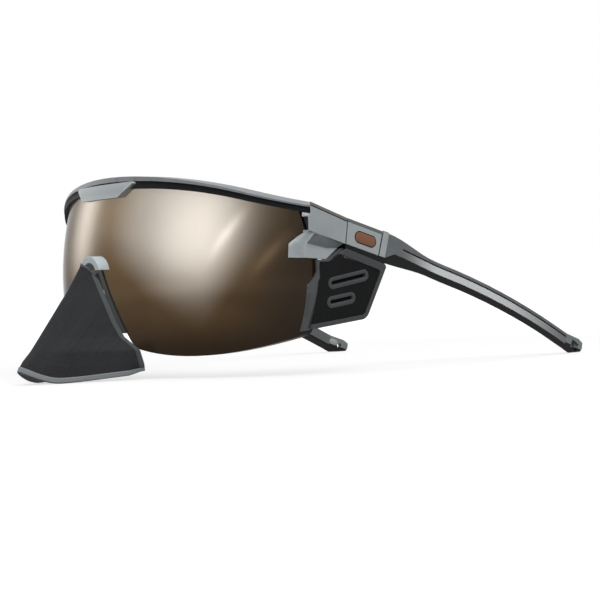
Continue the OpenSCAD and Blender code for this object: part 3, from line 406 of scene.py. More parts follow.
def bronzeLens():
    material, tree, shader = newMaterial("bronze_mirror_polycarbonate", {
        "Metallic": coatingWithPaintedLight["mirror"], "IOR": 1.58, "Transmission Weight": 0.7,
        "Specular IOR Level": 0.3, "Specular Tint": linear(coatingWithPaintedLight["tint"])})
    place = addNode(tree, "ShaderNodeTexCoord").outputs["Object"]
    axes = addNode(tree, "ShaderNodeSeparateXYZ", links={0: place})
    height = addNode(tree, "ShaderNodeMapRange", {
        "From Min": coatingWithPaintedLight["tones"][0] * mm, "From Max": coatingWithPaintedLight["tones"][1] * mm},
        {"Value": axes.outputs["Z"]})
    # Painted shade: the colour darkens from the top tone down to the foot tone
    base = addNode(tree, "ShaderNodeValToRGB", links={0: height.outputs["Result"]})
    ramp = base.color_ramp
    ramp.interpolation = "EASE"
    ramp.elements[0].color = linear(coatingWithPaintedLight["foot"])
    ramp.elements[1].color = linear(coatingWithPaintedLight["top"])
    for spot, key in coatingWithPaintedLight["stops"]:
        ramp.elements.new(spot).color = linear(coatingWithPaintedLight[key])
    # Each painted reflection zone fades to its two sides by its own reach, and thick sums the zones
    thick = None
    for middle, low, high, strength in coatingWithPaintedLight["highlightZones"]:
        sideways = addNode(tree, "ShaderNodeMath", {"operation": "SUBTRACT", 1: middle * mm},
                           {0: axes.outputs["X"]})
        fall = addNode(tree, "ShaderNodeMapRange", {
            "From Min": -low * mm, "From Max": 0.0, "To Min": 0.0, "To Max": strength,
            "interpolation_type": "SMOOTHSTEP"}, {"Value": sideways.outputs[0]})
        rise = addNode(tree, "ShaderNodeMapRange", {
            "From Min": 0.0, "From Max": high * mm, "To Min": 1.0, "To Max": 0.0,
            "interpolation_type": "SMOOTHSTEP"}, {"Value": sideways.outputs[0]})
        highlightZone = addNode(tree, "ShaderNodeMath", {"operation": "MULTIPLY"},
                       {0: fall.outputs["Result"], 1: rise.outputs["Result"]})
        thick = highlightZone if thick is None else addNode(
            tree, "ShaderNodeMath", {"operation": "ADD", "use_clamp": True},
            {0: thick.outputs[0], 1: highlightZone.outputs[0]})
    upper = addNode(tree, "ShaderNodeMapRange", {
        "From Min": coatingWithPaintedLight["highlightFoot"] * mm, "From Max": coatingWithPaintedLight["highlightTop"] * mm,
        "interpolation_type": "SMOOTHSTEP"}, {"Value": axes.outputs["Z"]})
    # Lower down, only the strong middle of a painted reflection zone is left
    both = addNode(tree, "ShaderNodeMath", {"operation": "ADD"},
                   {0: thick.outputs[0], 1: upper.outputs["Result"]})
    # How much painted reflection shows
    highlightAmount = addNode(tree, "ShaderNodeMapRange", {
        "From Min": coatingWithPaintedLight["highlightFade"][0], "From Max": coatingWithPaintedLight["highlightFade"][1],
        "interpolation_type": "SMOOTHSTEP"}, {"Value": both.outputs[0]})
    withPaintedHighlights = addNode(tree, "ShaderNodeMix", {"data_type": "RGBA", 7: linear(coatingWithPaintedLight["paintedHighlight"])},
                      {0: highlightAmount.outputs["Result"], 6: base.outputs["Color"]})
    # Painted shade: the colour darkens towards both sides of the lens
    out = addNode(tree, "ShaderNodeMath", {"operation": "ABSOLUTE"}, {0: axes.outputs["X"]})
    side = addNode(tree, "ShaderNodeMapRange", {
        "From Min": coatingWithPaintedLight["sideFrom"] * mm, "From Max": coatingWithPaintedLight["sideTo"] * mm,
        "To Min": 0.0, "To Max": coatingWithPaintedLight["paintedSideShade"],
        "interpolation_type": "SMOOTHSTEP"}, {"Value": out.outputs[0]})
    tone = addNode(tree, "ShaderNodeMix", {"data_type": "RGBA", 7: linear(coatingWithPaintedLight["side"])},
                   {0: side.outputs["Result"], 6: withPaintedHighlights.outputs[2]})
    haze = addNode(tree, "ShaderNodeTexNoise", {
        "Scale": 1 / (coatingWithPaintedLight["haze"] * mm), "Detail": 5.0, "Roughness": 0.6}, {"Vector": place})
    gloss = addNode(tree, "ShaderNodeMapRange", {
        "To Min": coatingWithPaintedLight["rough"] - coatingWithPaintedLight["vary"], "To Max": coatingWithPaintedLight["rough"] + coatingWithPaintedLight["vary"]},
        {"Value": haze.outputs["Fac"]})
    tree.links.new(tone.outputs[2], shader.inputs["Base Color"])
    tree.links.new(gloss.outputs["Result"], shader.inputs["Roughness"])
    return material


# The lens's cut edge, bare polycarbonate that carries light: a thin dark amber line, partly its own
# tint and partly painted shade for the dark recess where the lens meets each lug
cutFace = {"colour": "#2c1f13", "shade": "#1f160e", "saw": 0.8, "gloss": (0.25, 0.45)}


def lensEdge():
    material, tree, shader = newMaterial("cut_polycarbonate_edge", {
        "IOR": 1.58, "Specular IOR Level": 0.1,
        "Subsurface Weight": 0.3, "Subsurface Scale": 0.001})
    place = addNode(tree, "ShaderNodeTexCoord").outputs["Object"]
    cut = addNode(tree, "ShaderNodeTexNoise",
                  {"Scale": 1 / (cutFace["saw"] * mm), "Detail": 2.0}, {"Vector": place})
    tone = addNode(tree, "ShaderNodeMix", {
        "data_type": "RGBA", 6: linear(cutFace["colour"]), 7: linear(cutFace["shade"])},
        {0: cut.outputs["Fac"]})
    gloss = addNode(tree, "ShaderNodeMapRange", {
        "To Min": cutFace["gloss"][0], "To Max": cutFace["gloss"][1]},
        {"Value": cut.outputs["Fac"]})
    tree.links.new(tone.outputs[2], shader.inputs["Base Color"])
    tree.links.new(gloss.outputs["Result"], shader.inputs["Roughness"])
    return material


finishes = {
    "brow_black": mouldedPlastic("matt_black_nylon", {
        "colour": "#1b1c1e", "shade": "#161718", "worn": "#202224",
        "rough": 0.6, "grit": 0.5, "depth": 0.02, "shine": 0.08}),
    "brow_grey": mouldedPlastic("satin_grey_nylon", {
        "colour": "#696d70", "shade": "#5f6366", "worn": "#8e9294",
        "rough": 0.42, "grit": 0.5, "depth": 0.015}),
    "dark_shell": mouldedPlastic("charcoal_nylon", {
        "colour": "#1c1d1e", "shade": "#161718", "worn": "#2c2e2f",
        "rough": 0.5, "grit": 0.5, "depth": 0.02}),
    "light_shell": mouldedPlastic("blue_grey_lacquer", {
        "colour": "#b7bfc2", "shade": "#aeb6b9", "worn": "#d0d8da",
        "rough": 0.4, "grit": 0.35, "depth": 0.008, "shine": 0.35}),
    # Painted shade: the darker grey of each lug's claw flank that leans down
    "paintedShadeShell": mouldedPlastic("grey_lacquer_painted_shade", {
        "colour": "#6d777a", "shade": "#656e72", "worn": "#98a1a4",
        "rough": 0.4, "grit": 0.35, "depth": 0.008, "shine": 0.3}),
    "topStrip": mouldedPlastic("satin_taupe_nylon", {
        "colour": "#77726e", "shade": "#6d6864", "worn": "#9b9692",
        "rough": 0.45, "grit": 0.5, "depth": 0.015}),
    "arm_shell": mouldedPlastic("satin_slate_nylon", {
        "colour": "#515557", "shade": "#484c4e", "worn": "#868c8e",
        "rough": 0.42, "grit": 0.5, "depth": 0.012}),
    # The stripe darkens towards its fore end and its tip: painted shade along the arm
    "silver_stripe": mouldedPlastic("satin_silver_lacquer", {
        "colour": "#d0d3d5", "shade": "#c4c8ca", "worn": "#e2e5e6",
        "rough": 0.34, "grit": 0.3, "depth": 0.006,
        "metallic": 0.35, "coat": 0.2, "under": "#2c2e30", "fade": ((24, 6), (48, 92))}),
    "grip_rubber": mouldedPlastic("black_grip_rubber", {
        "colour": "#0d0e0e", "shade": "#0a0a0b", "worn": "#17181a",
        "rough": 0.55, "grit": 0.4, "depth": 0.015, "shine": 0.16}),
    "tip_shell": mouldedPlastic("slate_tip_nylon", {
        "colour": "#6e7678", "shade": "#646c6e", "worn": "#a0a8aa",
        "rough": 0.45, "grit": 0.5, "depth": 0.015}),
    "shield_bar": mouldedPlastic("satin_bar_nylon", {
        "colour": "#3a3c3e", "shade": "#343638", "worn": "#5c5f61",
        "rough": 0.46, "grit": 0.5, "depth": 0.015}),
    "shield_trim": mouldedPlastic("pressed_grey_binding", {
        "colour": "#4b4e50", "shade": "#424547", "worn": "#606365",
        "rough": 0.66, "grit": 0.7, "depth": 0.04, "shine": 0.3}),
    "guard_trim": mouldedPlastic("pressed_light_binding", {
        "colour": "#989da0", "shade": "#8d9295", "worn": "#b2b8ba",
        "rough": 0.58, "grit": 0.7, "depth": 0.03, "shine": 0.35}),
    "sideTape": mouldedPlastic("pressed_dark_binding", {
        "colour": "#55595b", "shade": "#4b4f51", "worn": "#787d7f",
        "rough": 0.6, "grit": 0.7, "depth": 0.03, "shine": 0.3}),
    "slotFloor": mouldedPlastic("black_slot_mesh", {
        "colour": "#0c0c0d", "shade": "#080808", "worn": "#0c0c0d",
        "rough": 0.8, "grit": 0.6, "depth": 0.1, "shine": 0.1}),
    "inlayFace": mouldedPlastic("copper_brown_inlay", {
        "colour": "#94603f", "shade": "#875536", "worn": "#b98a68",
        "rough": 0.4, "grit": 0.3, "depth": 0.006}),
    "cushion": siliconeRubber("pale_grey_silicone", {
        "colour": "#c9d0ce", "shade": "#bcc4c2", "rough": 0.4, "inside": 0.2}),
    "soft_rubber": siliconeRubber("black_silicone", {
        "colour": "#191a1b", "shade": "#222425", "rough": 0.5, "inside": 0.0}),
    "saddle": siliconeRubber("pale_blue_silicone", {
        "colour": "#dbe6eb", "shade": "#d0dde3", "rough": 0.24, "inside": 0.25}),
    "guard_fabric": wovenCloth("charcoal_softshell", {
        "map": "UV", "thread": 0.6, "dark": "#2b2c2e", "light": "#454648", "faded": "#4e4f51",
        "nap": "#8a8c90", "nappy": 0.75, "sheen": 0.1}),
    "shield_fabric": wovenCloth("black_softshell", {
        "map": "Object", "thread": 0.6, "dark": "#111112", "light": "#232425", "faded": "#2b2c2d",
        "nap": "#6a6a6c", "nappy": 0.6, "sheen": 0.06}),
    "steel": turnedSteel(),
    "lens": bronzeLens(),
    "cutEdge": lensEdge(),
}
print("materials made")


def bodyOf(nodeName):
    for body, held in frame["record"]["behaviour"]["bodies"].items():
        if nodeName in held:
            return body
    return "root"


def signOf(name):
    return 1 if name.endswith("left") else -1


def kindOf(nodeName):
    return nodeName.rsplit("_", 1)[0] if nodeName.endswith(sides) else nodeName


slots = {}
for side in sides:
    for node, slot in (
            ("end_block", "dark_shell"), ("lug", "light_shell"), ("hinge_pin", "steel"),
            ("temple_arm", "arm_shell"), ("temple_stripe", "silver_stripe"),
            ("temple_plate", "light_shell"), ("temple_grip", "grip_rubber"),
            ("temple_tip", "tip_shell"), ("hinge_leaf", "steel"), ("shield_frame", "shield_bar"),
            ("shield_panel", "shield_fabric"), ("shield_binding", "shield_trim"),
            ("shield_vents", "shield_trim"), ("nose_pad", "soft_rubber"), ("pad_pin", "steel")):
        slots[node + "_" + side] = slot
slots.update({
    "lens": "lens", "brow_rim": "brow_black", "brow_cap": "brow_grey", "brow_clip": "light_shell",
    "nose_frame": "soft_rubber", "nose_bridge": "saddle", "guard_panel": "guard_fabric",
    "guard_binding": "guard_trim"})


# Puts a finished mesh in the scene, in place of its solid or beside it
def fitPiece(name, bm, nodeName, replace=True):
    mesh = bpy.data.meshes.new(name)
    bm.to_mesh(mesh)
    bm.free()
    piece = bpy.data.objects.new(name, mesh)
    bpy.context.collection.objects.link(piece)
    mesh.materials.append(finishes[slots[nodeName]])
    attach(piece, bodyOf(nodeName))
    if replace:
        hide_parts(nodeName)
    return piece


weldDist, fineWeld, cutDist = 2e-6, 1e-7, 1e-6  # metres
flatAngle, roundAngle, shadeAngle = (math.radians(a) for a in (1, 28, 34))
faceOn = 0.9  # a face whose normal has this much of a direction looks that way


# A copy of a solid's mesh with its loose triangles joined
def mergedCopy(nodeName, weld=weldDist):
    bm = bmesh.new()
    bm.from_mesh(nodes[nodeName].data)
    bmesh.ops.remove_doubles(bm, verts=bm.verts, dist=weld)
    return bm


def smoothFaces(bm):
    for face in bm.faces:
        face.smooth = True


def vertsIn(geom):
    return [v for v in geom if isinstance(v, bmesh.types.BMVert)]


# The way back along a slope of so many degrees, and the way up from it
def slopeWays(degrees):
    lean = math.radians(degrees)
    return Vector((0, math.cos(lean), -math.sin(lean))), Vector((0, math.sin(lean), math.cos(lean)))


# A line cut across some faces, for a fold or a change of finish along it
def scoreLine(bm, faces, seat, across):
    edges = dict.fromkeys(e for f in faces for e in f.edges)
    verts = dict.fromkeys(v for f in faces for v in f.verts)
    return bmesh.ops.bisect_plane(bm, geom=[*faces, *edges, *verts], dist=cutDist,
                                  plane_co=seat, plane_no=across)


# The claw under each lug: its flank leans in down to a fold line and stands upright below it
claw = {
    "fold": 40.0, "pull": 0.5, "push": 0.8, "foot": 38.2, "drop": 0.18,  # mm
    "out": 0.85, "down": (-0.5, -0.25),  # the way the flank looks, outwards and down
}


def foldClaw(bm, sign):
    low, high = claw["down"]
    flank = [f for f in bm.faces if f.normal.x * sign > claw["out"] and low < f.normal.z < high]
    verts = {v for f in flank for v in f.verts}
    cut = scoreLine(bm, flank, (0, 0, claw["fold"] * mm), (0, 0, 1))
    for vert in vertsIn(cut["geom_cut"]):
        vert.co.x -= sign * claw["pull"] * mm
    for vert in verts:
        if vert.co.z < claw["foot"] * mm:
            vert.co.x += sign * claw["push"] * mm
            vert.co.z -= claw["drop"] * mm
    bm.normal_update()


# A corner that stands out as a flap without thickness goes to its nearest neighbour
def weldFlap(bm):
    backToBack = -0.99
    bm.normal_update()
    for vert in bm.verts[:]:
        faces = vert.link_faces
        if len(faces) == 2 and faces[0].normal.dot(faces[1].normal) < backToBack:
            ends = [e.other_vert(vert) for e in vert.link_edges]
            near = min(ends, key=lambda v: (v.co - vert.co).length)
            bmesh.ops.pointmerge(bm, verts=[vert, near], merge_co=near.co)
            break


# The edges of a lug or plate that meet another moulding, by the way their rounding faces; these are
# painted black as shade in the joint
def onSeam(kind, normal, sign):
    level, turned = 0.2, 0.3
    if normal.x * sign < level:
        return False
    if kind == "lug":
        behind = normal.y > turned and normal.z < level
    else:
        behind = normal.y < -turned
    return behind or normal.z > turned


# Side shields: a sheet of softshell in its binding, a little crowned, with black vent slots
shield = {
    "crown": 0.22, "ripple": 0.05, "wave": 6.25, "cell": 1.6, "tuck": 0.35, "slotDepth": 0.6,
    "tilt": 6.2,  # degrees
    # a point of each front edge, the way it faces, and its reach in y and z, mm
    "hems": (
        (-21.3, 37.2, 0.52, -0.85, -24.6, -16.4, 35.0, 41.4),
        (-26.0, 35.4, 0.0, -1.0, -28.2, -23.4, 34.9, 35.6),
        (-28.0, 33.5, 1.0, 0.03, -28.6, -27.4, 30.6, 35.0),
        (-29.7, 22.4, 0.99, -0.14, -32.0, -28.2, 13.0, 30.6),
    ),
    "onHem": (-0.1, 0.35),  # how far off an edge's line a point still belongs to it, mm
}


# Cloth and binding run in behind the moulded bar and hook
def tuckFront(bm):
    inside, outside = shield["onHem"]
    for vert in bm.verts:
        y, z = vert.co.y / mm, vert.co.z / mm
        for atY, atZ, faceY, faceZ, lowY, highY, lowZ, highZ in shield["hems"]:
            off = (y - atY) * faceY + (z - atZ) * faceZ
            if inside < off < outside and lowY < y < highY and lowZ < z < highZ:
                vert.co -= Vector((0, faceY, faceZ)) * (off + shield["tuck"]) * mm
                break


# Where a finish changes: a black seam under each lug's top strip, painted shade in the joint, each
# lug's darker grey claw flank, painted shade, the strip along each end block's outer side, and each
# tip's black underside
change = {
    "seam": 0.34, "blockOut": 72.6, "tipBack": 10.6, "tipUp": 4.5,  # mm
    "tipLean": 22,  # degrees
    "lugSide": 0.95, "clawOut": 0.8, "clawDown": -0.25,  # the way a lug's side and claw look
}
lugTop = max((f for f in nodes["lug_left"].data.polygons if f.normal.z > faceOn),
             key=lambda f: f.center.z)
seamUp = lugTop.normal.copy()
seamSeat = Vector((0, lugTop.center.y, lugTop.center.z)) - seamUp * change["seam"] * mm
tipUp = slopeWays(change["tipLean"])[1]
tipSeat = Vector((0, cadHigh.y - change["tipBack"] * mm, change["tipUp"] * mm))
# The finishes on a piece after its slot's own. On a lug and a plate the black also paints shade
# along their seams, and a lug's darker grey paints shade on its claw flank
moreFinishes = {
    "lug": ("grip_rubber", "paintedShadeShell"), "temple_plate": ("grip_rubber",),
    "end_block": ("topStrip",), "temple_tip": ("grip_rubber",),
}


def changeFinish(face, kind, sign):
    spot = face.calc_center_median()
    out = face.normal.x * sign
    if kind == "lug":
        # Painted shade: the claw's flank that leans down gets the darker grey
        if out > change["clawOut"] and face.normal.z < change["clawDown"]:
            face.material_index = 2
        # Painted shade: a black band at the top of the lug's side, under its top strip
        if out > change["lugSide"] and (spot - seamSeat).dot(seamUp) > 0:
            face.material_index = 1
    elif kind == "temple_tip" and (spot - tipSeat).dot(tipUp) < 0:
        face.material_index = 1
    elif kind == "end_block" and abs(spot.x) > change["blockOut"] * mm:
        face.material_index = 1


# A merged copy of a solid, with the edges that a mould leaves rounded
def roundedCopy(nodeName, radius, segments):
    kind, sign = kindOf(nodeName), signOf(nodeName)
    # The arm's groove leaves a lip of a few microns, which a wider weld would tear open
    weld = fineWeld if kind == "temple_arm" else weldDist
    bm = mergedCopy(nodeName, weld)
    bmesh.ops.dissolve_degenerate(bm, edges=bm.edges, dist=weld / 2)
    bmesh.ops.dissolve_limit(bm, verts=bm.verts, edges=bm.edges, angle_limit=flatAngle)
    if kind == "lug":
        foldClaw(bm, sign)
        side = [f for f in bm.faces if f.normal.x * sign > change["lugSide"]]
        scoreLine(bm, side, seamSeat, seamUp)
    elif kind == "temple_tip":
        scoreLine(bm, bm.faces[:], tipSeat, tipUp)
    elif kind == "shield_binding":
        tuckFront(bm)
    elif kind == "temple_grip":
        weldFlap(bm)
    corners = [e for e in bm.edges
               if len(e.link_faces) == 2 and e.calc_face_angle(0) > roundAngle]
    made = bmesh.ops.bevel(bm, geom=corners, offset=radius * mm, offset_type="OFFSET",
                           affect="EDGES", segments=segments, profile=0.5, material=-1,
                           clamp_overlap=True)
    # The rounded faces are marked for the plastics' lighter edges, which are wear and a painted
    # highlight
    edge = bm.verts.layers.float.new("edge")
    for face in made["faces"]:
        for vert in face.verts:
            vert[edge] = 1.0
        # Painted shade: the rounded edges along a seam in black
        if kind in ("lug", "temple_plate") and onSeam(kind, face.normal, sign):
            face.material_index = 1
    bmesh.ops.remove_doubles(bm, verts=bm.verts, dist=weld / 2)
    smoothFaces(bm)
    for face in bm.faces:
        changeFinish(face, kind, sign)
    piece = fitPiece(nodeName + "_skin", bm, nodeName)
    for finish in moreFinishes.get(kind, ()):
        piece.data.materials.append(finishes[finish])
    piece.data.set_sharp_from_angle(angle=shadeAngle)
    even = piece.modifiers.new("even", "WEIGHTED_NORMAL")
    even.keep_sharp = True
    return piece


# How far each kind of moulding is rounded, mm
rounding = {
    "brow_rim": 0.25, "brow_cap": 0.35, "brow_clip": 0.45, "nose_frame": 0.25, "nose_bridge": 0.7,
    "end_block": 0.15, "lug": 0.22, "hinge_pin": 0.15, "temple_arm": 0.2, "temple_stripe": 0.2,
    "temple_plate": 0.22, "temple_grip": 0.05, "temple_tip": 0.3, "hinge_leaf": 0.2,
    "shield_frame": 0.1, "shield_binding": 0.1, "shield_vents": 0.3,
    "nose_pad": 0.7, "pad_pin": 0.15,
}
softKinds = ("nose_bridge", "nose_pad")  # rounded in three steps, and the others in two
pieces = {}
for node in nodes:
    kind = kindOf(node)
    if kind in rounding:
        pieces[node] = roundedCopy(node, rounding[kind], 3 if kind in softKinds else 2)
print("moulded pieces rounded,", len(pieces))


def outward(side):
    lean = math.radians(shield["tilt"])
    return Vector((math.cos(lean) * signOf(side), 0, -math.sin(lean)))


def shieldCloth(side):
    panel = "shield_panel_" + side
    bm = mergedCopy(panel)
    bmesh.ops.dissolve_limit(bm, verts=bm.verts, edges=bm.edges, angle_limit=flatAngle)
    low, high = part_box(panel)
    for axis in (1, 2):
        steps = int((high[axis] - low[axis]) / (shield["cell"] * mm))
        for i in range(1, steps):
            spot, cut = Vector(low), Vector((0, 0, 0))
            spot[axis] += (high[axis] - low[axis]) * i / steps
            cut[axis] = 1
            bmesh.ops.bisect_plane(bm, geom=bm.verts[:] + bm.edges[:] + bm.faces[:], dist=cutDist,
                                   plane_co=spot, plane_no=cut)
    out = outward(side)
    for vert in bm.verts:
        across = 2 * (vert.co.y - low[1]) / (high[1] - low[1]) - 1
        up = 2 * (vert.co.z - low[2]) / (high[2] - low[2]) - 1
        swell = max(0, 1 - across ** 2) * max(0, 1 - up ** 2)
        wave = noise.noise(vert.co / (shield["wave"] * mm)) * shield["ripple"]
        vert.co += out * (swell * (shield["crown"] + wave)) * mm
    tuckFront(bm)
    smoothFaces(bm)
    piece = fitPiece("shield_cloth_" + side, bm, panel)
    piece.data.set_sharp_from_angle(angle=shadeAngle)
    return piece


for side in sides:
    pieces["shield_panel_" + side] = shieldCloth(side)
    vents = pieces["shield_vents_" + side].data
    vents.materials.append(finishes["slotFloor"])
    out = outward(side)
    front = max(f.center.dot(out) for f in vents.polygons)
    for face in vents.polygons:
        sunk = (front - face.center.dot(out)) / mm
        if face.normal.dot(out) > faceOn and sunk > shield["slotDepth"]:
            face.material_index = 1
print("side shields made")


# The fore end of each temple: its slope down to the ear in degrees, and its outer side in mm
templeEnd = {"slope": 17, "outer": 75.2}
templeBack, templeUp = slopeWays(templeEnd["slope"])
# Grip pads: rubber that fills the slanted underside of each temple beside its shield
gripPad = {
    "outer": 75.05, "inner": 71.6, "fore": 0.6, "length": 18.2, "lip": 0.04, "gap": 0.03,
    "reach": 8,  # the grip's fore end is found within this many mm behind the hinge pin
    "slant": 24,  # degrees
    "lean": 0.22,  # how far the pad's end leans back for its height
}


def makeGripPad(side):
    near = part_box("hinge_pin_" + side)[1][1] + gripPad["reach"] * mm
    points = [v.co for v in nodes["temple_grip_" + side].data.vertices if v.co.y < near]
    low = min(p.dot(templeUp) for p in points)
    start = min(p.dot(templeBack) for p in points) - gripPad["fore"] * mm
    rise = math.tan(math.radians(gripPad["slant"]))
    deep = (templeEnd["outer"] - gripPad["inner"]) * rise - gripPad["gap"]
    bm = bmesh.new()
    ring = []
    for x, up in ((gripPad["outer"], 0.0), (gripPad["inner"], 0.0),
                  (gripPad["inner"], deep), (gripPad["outer"], gripPad["lip"])):
        spot = templeBack * (start + up * gripPad["lean"] * mm) + templeUp * (low + up * mm)
        ring.append(bm.verts.new(spot + Vector((signOf(side) * x * mm, 0, 0))))
    end = bmesh.ops.extrude_face_region(bm, geom=[bm.faces.new(ring)])
    bmesh.ops.translate(bm, vec=templeBack * gripPad["length"] * mm, verts=vertsIn(end["geom"]))
    bmesh.ops.recalc_face_normals(bm, faces=bm.faces)
    fitPiece("grip_pad_" + side, bm, "temple_grip_" + side, False)


for side in sides:
    makeGripPad(side)
print("grip pads made")


# Temple plates: a plain copper-brown pill let into each, in a dark bed
inlay = {
    "along": 5.8, "up": -0.45,  # from the hinge pin's middle, mm
    "length": 8.6, "width": 3.4, "bed": 0.35, "bedProud": 0.05, "proud": 0.12, "sunk": 0.3,
}
# Temple tips: a pale oval cushion on the inner face of each
cushion = {
    "back": 7.6, "up": 4.2, "length": 4.2, "width": 2.4, "proud": 0.15, "sunk": 0.3,  # mm
    "lean": 20,  # degrees
}
pillRim = {"steps": 48, "lip": 0.08}


# A flat pill with a rounded lip, on a seat given by its place, its long way and its outward way
def pill(name, nodeName, size, grow, proud, seat, along, out, finish):
    bm = bmesh.new()
    radius = (size["width"] / 2 + grow) * mm
    half = (size["length"] - size["width"]) / 2 * mm
    ring = bmesh.ops.create_circle(bm, cap_ends=True, segments=pillRim["steps"], radius=radius)
    for vert in ring["verts"]:
        vert.co.x += half if vert.co.x > 0 else -half
    bmesh.ops.translate(bm, verts=bm.verts, vec=(0, 0, -size["sunk"] * mm))
    top = bmesh.ops.extrude_face_region(bm, geom=bm.faces[:])
    raised = vertsIn(top["geom"])
    bmesh.ops.translate(bm, verts=raised, vec=(0, 0, (size["sunk"] + proud) * mm))
    lip = [e for e in bm.edges if all(v in raised for v in e.verts)]
    bmesh.ops.bevel(bm, geom=lip, offset=pillRim["lip"] * mm, offset_type="OFFSET",
                    affect="EDGES", segments=2, profile=0.5, material=-1)
    turn = Matrix((along, out.cross(along), out)).transposed().to_4x4()
    bmesh.ops.transform(bm, matrix=Matrix.Translation(seat) @ turn, verts=bm.verts)
    bmesh.ops.recalc_face_normals(bm, faces=bm.faces)
    smoothFaces(bm)
    piece = fitPiece(name, bm, nodeName, False)
    piece.data.materials[0] = finishes[finish]
    piece.data.set_sharp_from_angle(angle=shadeAngle)


def templeInlays(side):
    plate, out = "temple_plate_" + side, Vector((signOf(side), 0, 0))
    low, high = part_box("hinge_pin_" + side)
    middle = (Vector(low) + Vector(high)) / 2
    seat = Vector((templeEnd["outer"] * mm * signOf(side), middle.y, middle.z))
    seat += templeBack * inlay["along"] * mm + templeUp * inlay["up"] * mm
    for name, grow, proud, finish in (
            ("inlay_bed_", inlay["bed"], inlay["bedProud"], "grip_rubber"),
            ("inlay_face_", 0, inlay["proud"], "inlayFace")):
        pill(name + side, plate, inlay, grow, proud, seat, templeBack, out, finish)


def tipCushion(side):
    tip = "temple_tip_" + side
    inner = max((f for f in nodes[tip].data.polygons if f.normal.x * signOf(side) < -faceOn),
                key=lambda f: f.area)
    out, middle = inner.normal.copy(), inner.center
    seat = Vector((0, cadHigh.y - cushion["back"] * mm, cushion["up"] * mm))
    off = seat - middle
    seat.x = middle.x - (off.y * out.y + off.z * out.z) / out.x  # on the inner face
    along = slopeWays(cushion["lean"])[0]
    along = (along - out * along.dot(out)).normalized()
    pill("tip_cushion_" + side, tip, cushion, 0, cushion["proud"], seat, along, out, "cushion")


for side in sides:
    templeInlays(side)
    tipCushion(side)
print("temple inlays and tip cushions made")


# Lens: the solid's own faces with the true normals of its two curves
lensForm = {"radius": 96, "uprightRadius": 108, "midHeight": 32.5, "onCurve": 0.8}


def lensNormal(point):
    axis = Vector((0, lensFrontY + lensForm["radius"] * mm))
    out = Vector((point.x, point.y)) - axis
    far = out.length - (lensForm["radius"] - lensForm["uprightRadius"]) * mm
    rise = point.z - lensForm["midHeight"] * mm
    flat = out.normalized() * far
    return Vector((flat.x, flat.y, rise)).normalized()


def makeLens():
    bm = mergedCopy("lens")
    smoothFaces(bm)
    mesh = fitPiece("lens_skin", bm, "lens").data
    mesh.materials.append(finishes["cutEdge"])
    normals = [None] * len(mesh.loops)
    for face in mesh.polygons:
        lean = face.normal.dot(lensNormal(face.center))
        onCurve = abs(lean) > lensForm["onCurve"]
        face.material_index = 0 if onCurve else 1
        for loop in face.loop_indices:
            point = mesh.vertices[mesh.loops[loop].vertex_index].co
            curve = lensNormal(point) * (1 if lean > 0 else -1)
            normals[loop] = curve if onCurve else face.normal.copy()
    mesh.normals_split_custom_set(normals)


makeLens()
print("lens made")


# Nose guard: one sheet of softshell from its top to its foot, held in tapes
guard = {
    # lengths in mm
    "topZ": 37.8, "topY": 6.8, "lowY": 32.3, "lift": 4.2, "rear": 1.4, "hem": 1.8,
    "cloth": 1.2, "tape": 1.6, "lap": 0.2, "proud": 0.3, "soft": 0.3,
    "arch": 1.2, "shoulder": 0.8, "corner": 1.2, "cornerIn": 0.7,
    # shares of the half width: how soft the ridge is, where the flanks and corners start
    "ridge": 0.2, "flank": 0.4, "cornerFrom": 0.86,
    # rows where the forms end or start
    "archRow": 1.5, "shoulderRow": 0.9, "cornerRow": 6.2,
    "headRow": 0.14, "fallRow": 5, "hemRow": 6.62, "footRow": 7,
    # the edge at rows 0 to 7, and how far down the ridge each row is
    "edgeX": (2.8, 4.8, 8.8, 12.2, 14.9, 19.5, 20.2, 20.6),
    "edgeY": (-3.3, -3.0, -2.5, -1.6, -0.3, 2.6, 3.4, 4.0),
    "edgeZ": (35.6, 33.0, 26.0, 19.0, 14.0, 9.6, 5.6, 0.0),
    "share": (0.0, 0.15, 0.34, 0.53, 0.68, 0.81, 0.92, 1.0),
    "softAngle": 50,  # degrees
    "bow": 1.06,  # the way from ridge to edge along the sheet, over the straight one
    "under": 0.03,  # how far the cloth runs in under its tapes
    "weave": (1.5, 0.75),  # the cloth's map across and down, for its slanted halves
}


def ease(x):
    x = min(1, max(0, x))
    return x * x * (3 - 2 * x)


def mix(a, b, k):
    return a + (b - a) * k


def pick(values, row):
    i = min(len(values) - 2, int(row))
    return mix(values[i], values[i + 1], row - i)


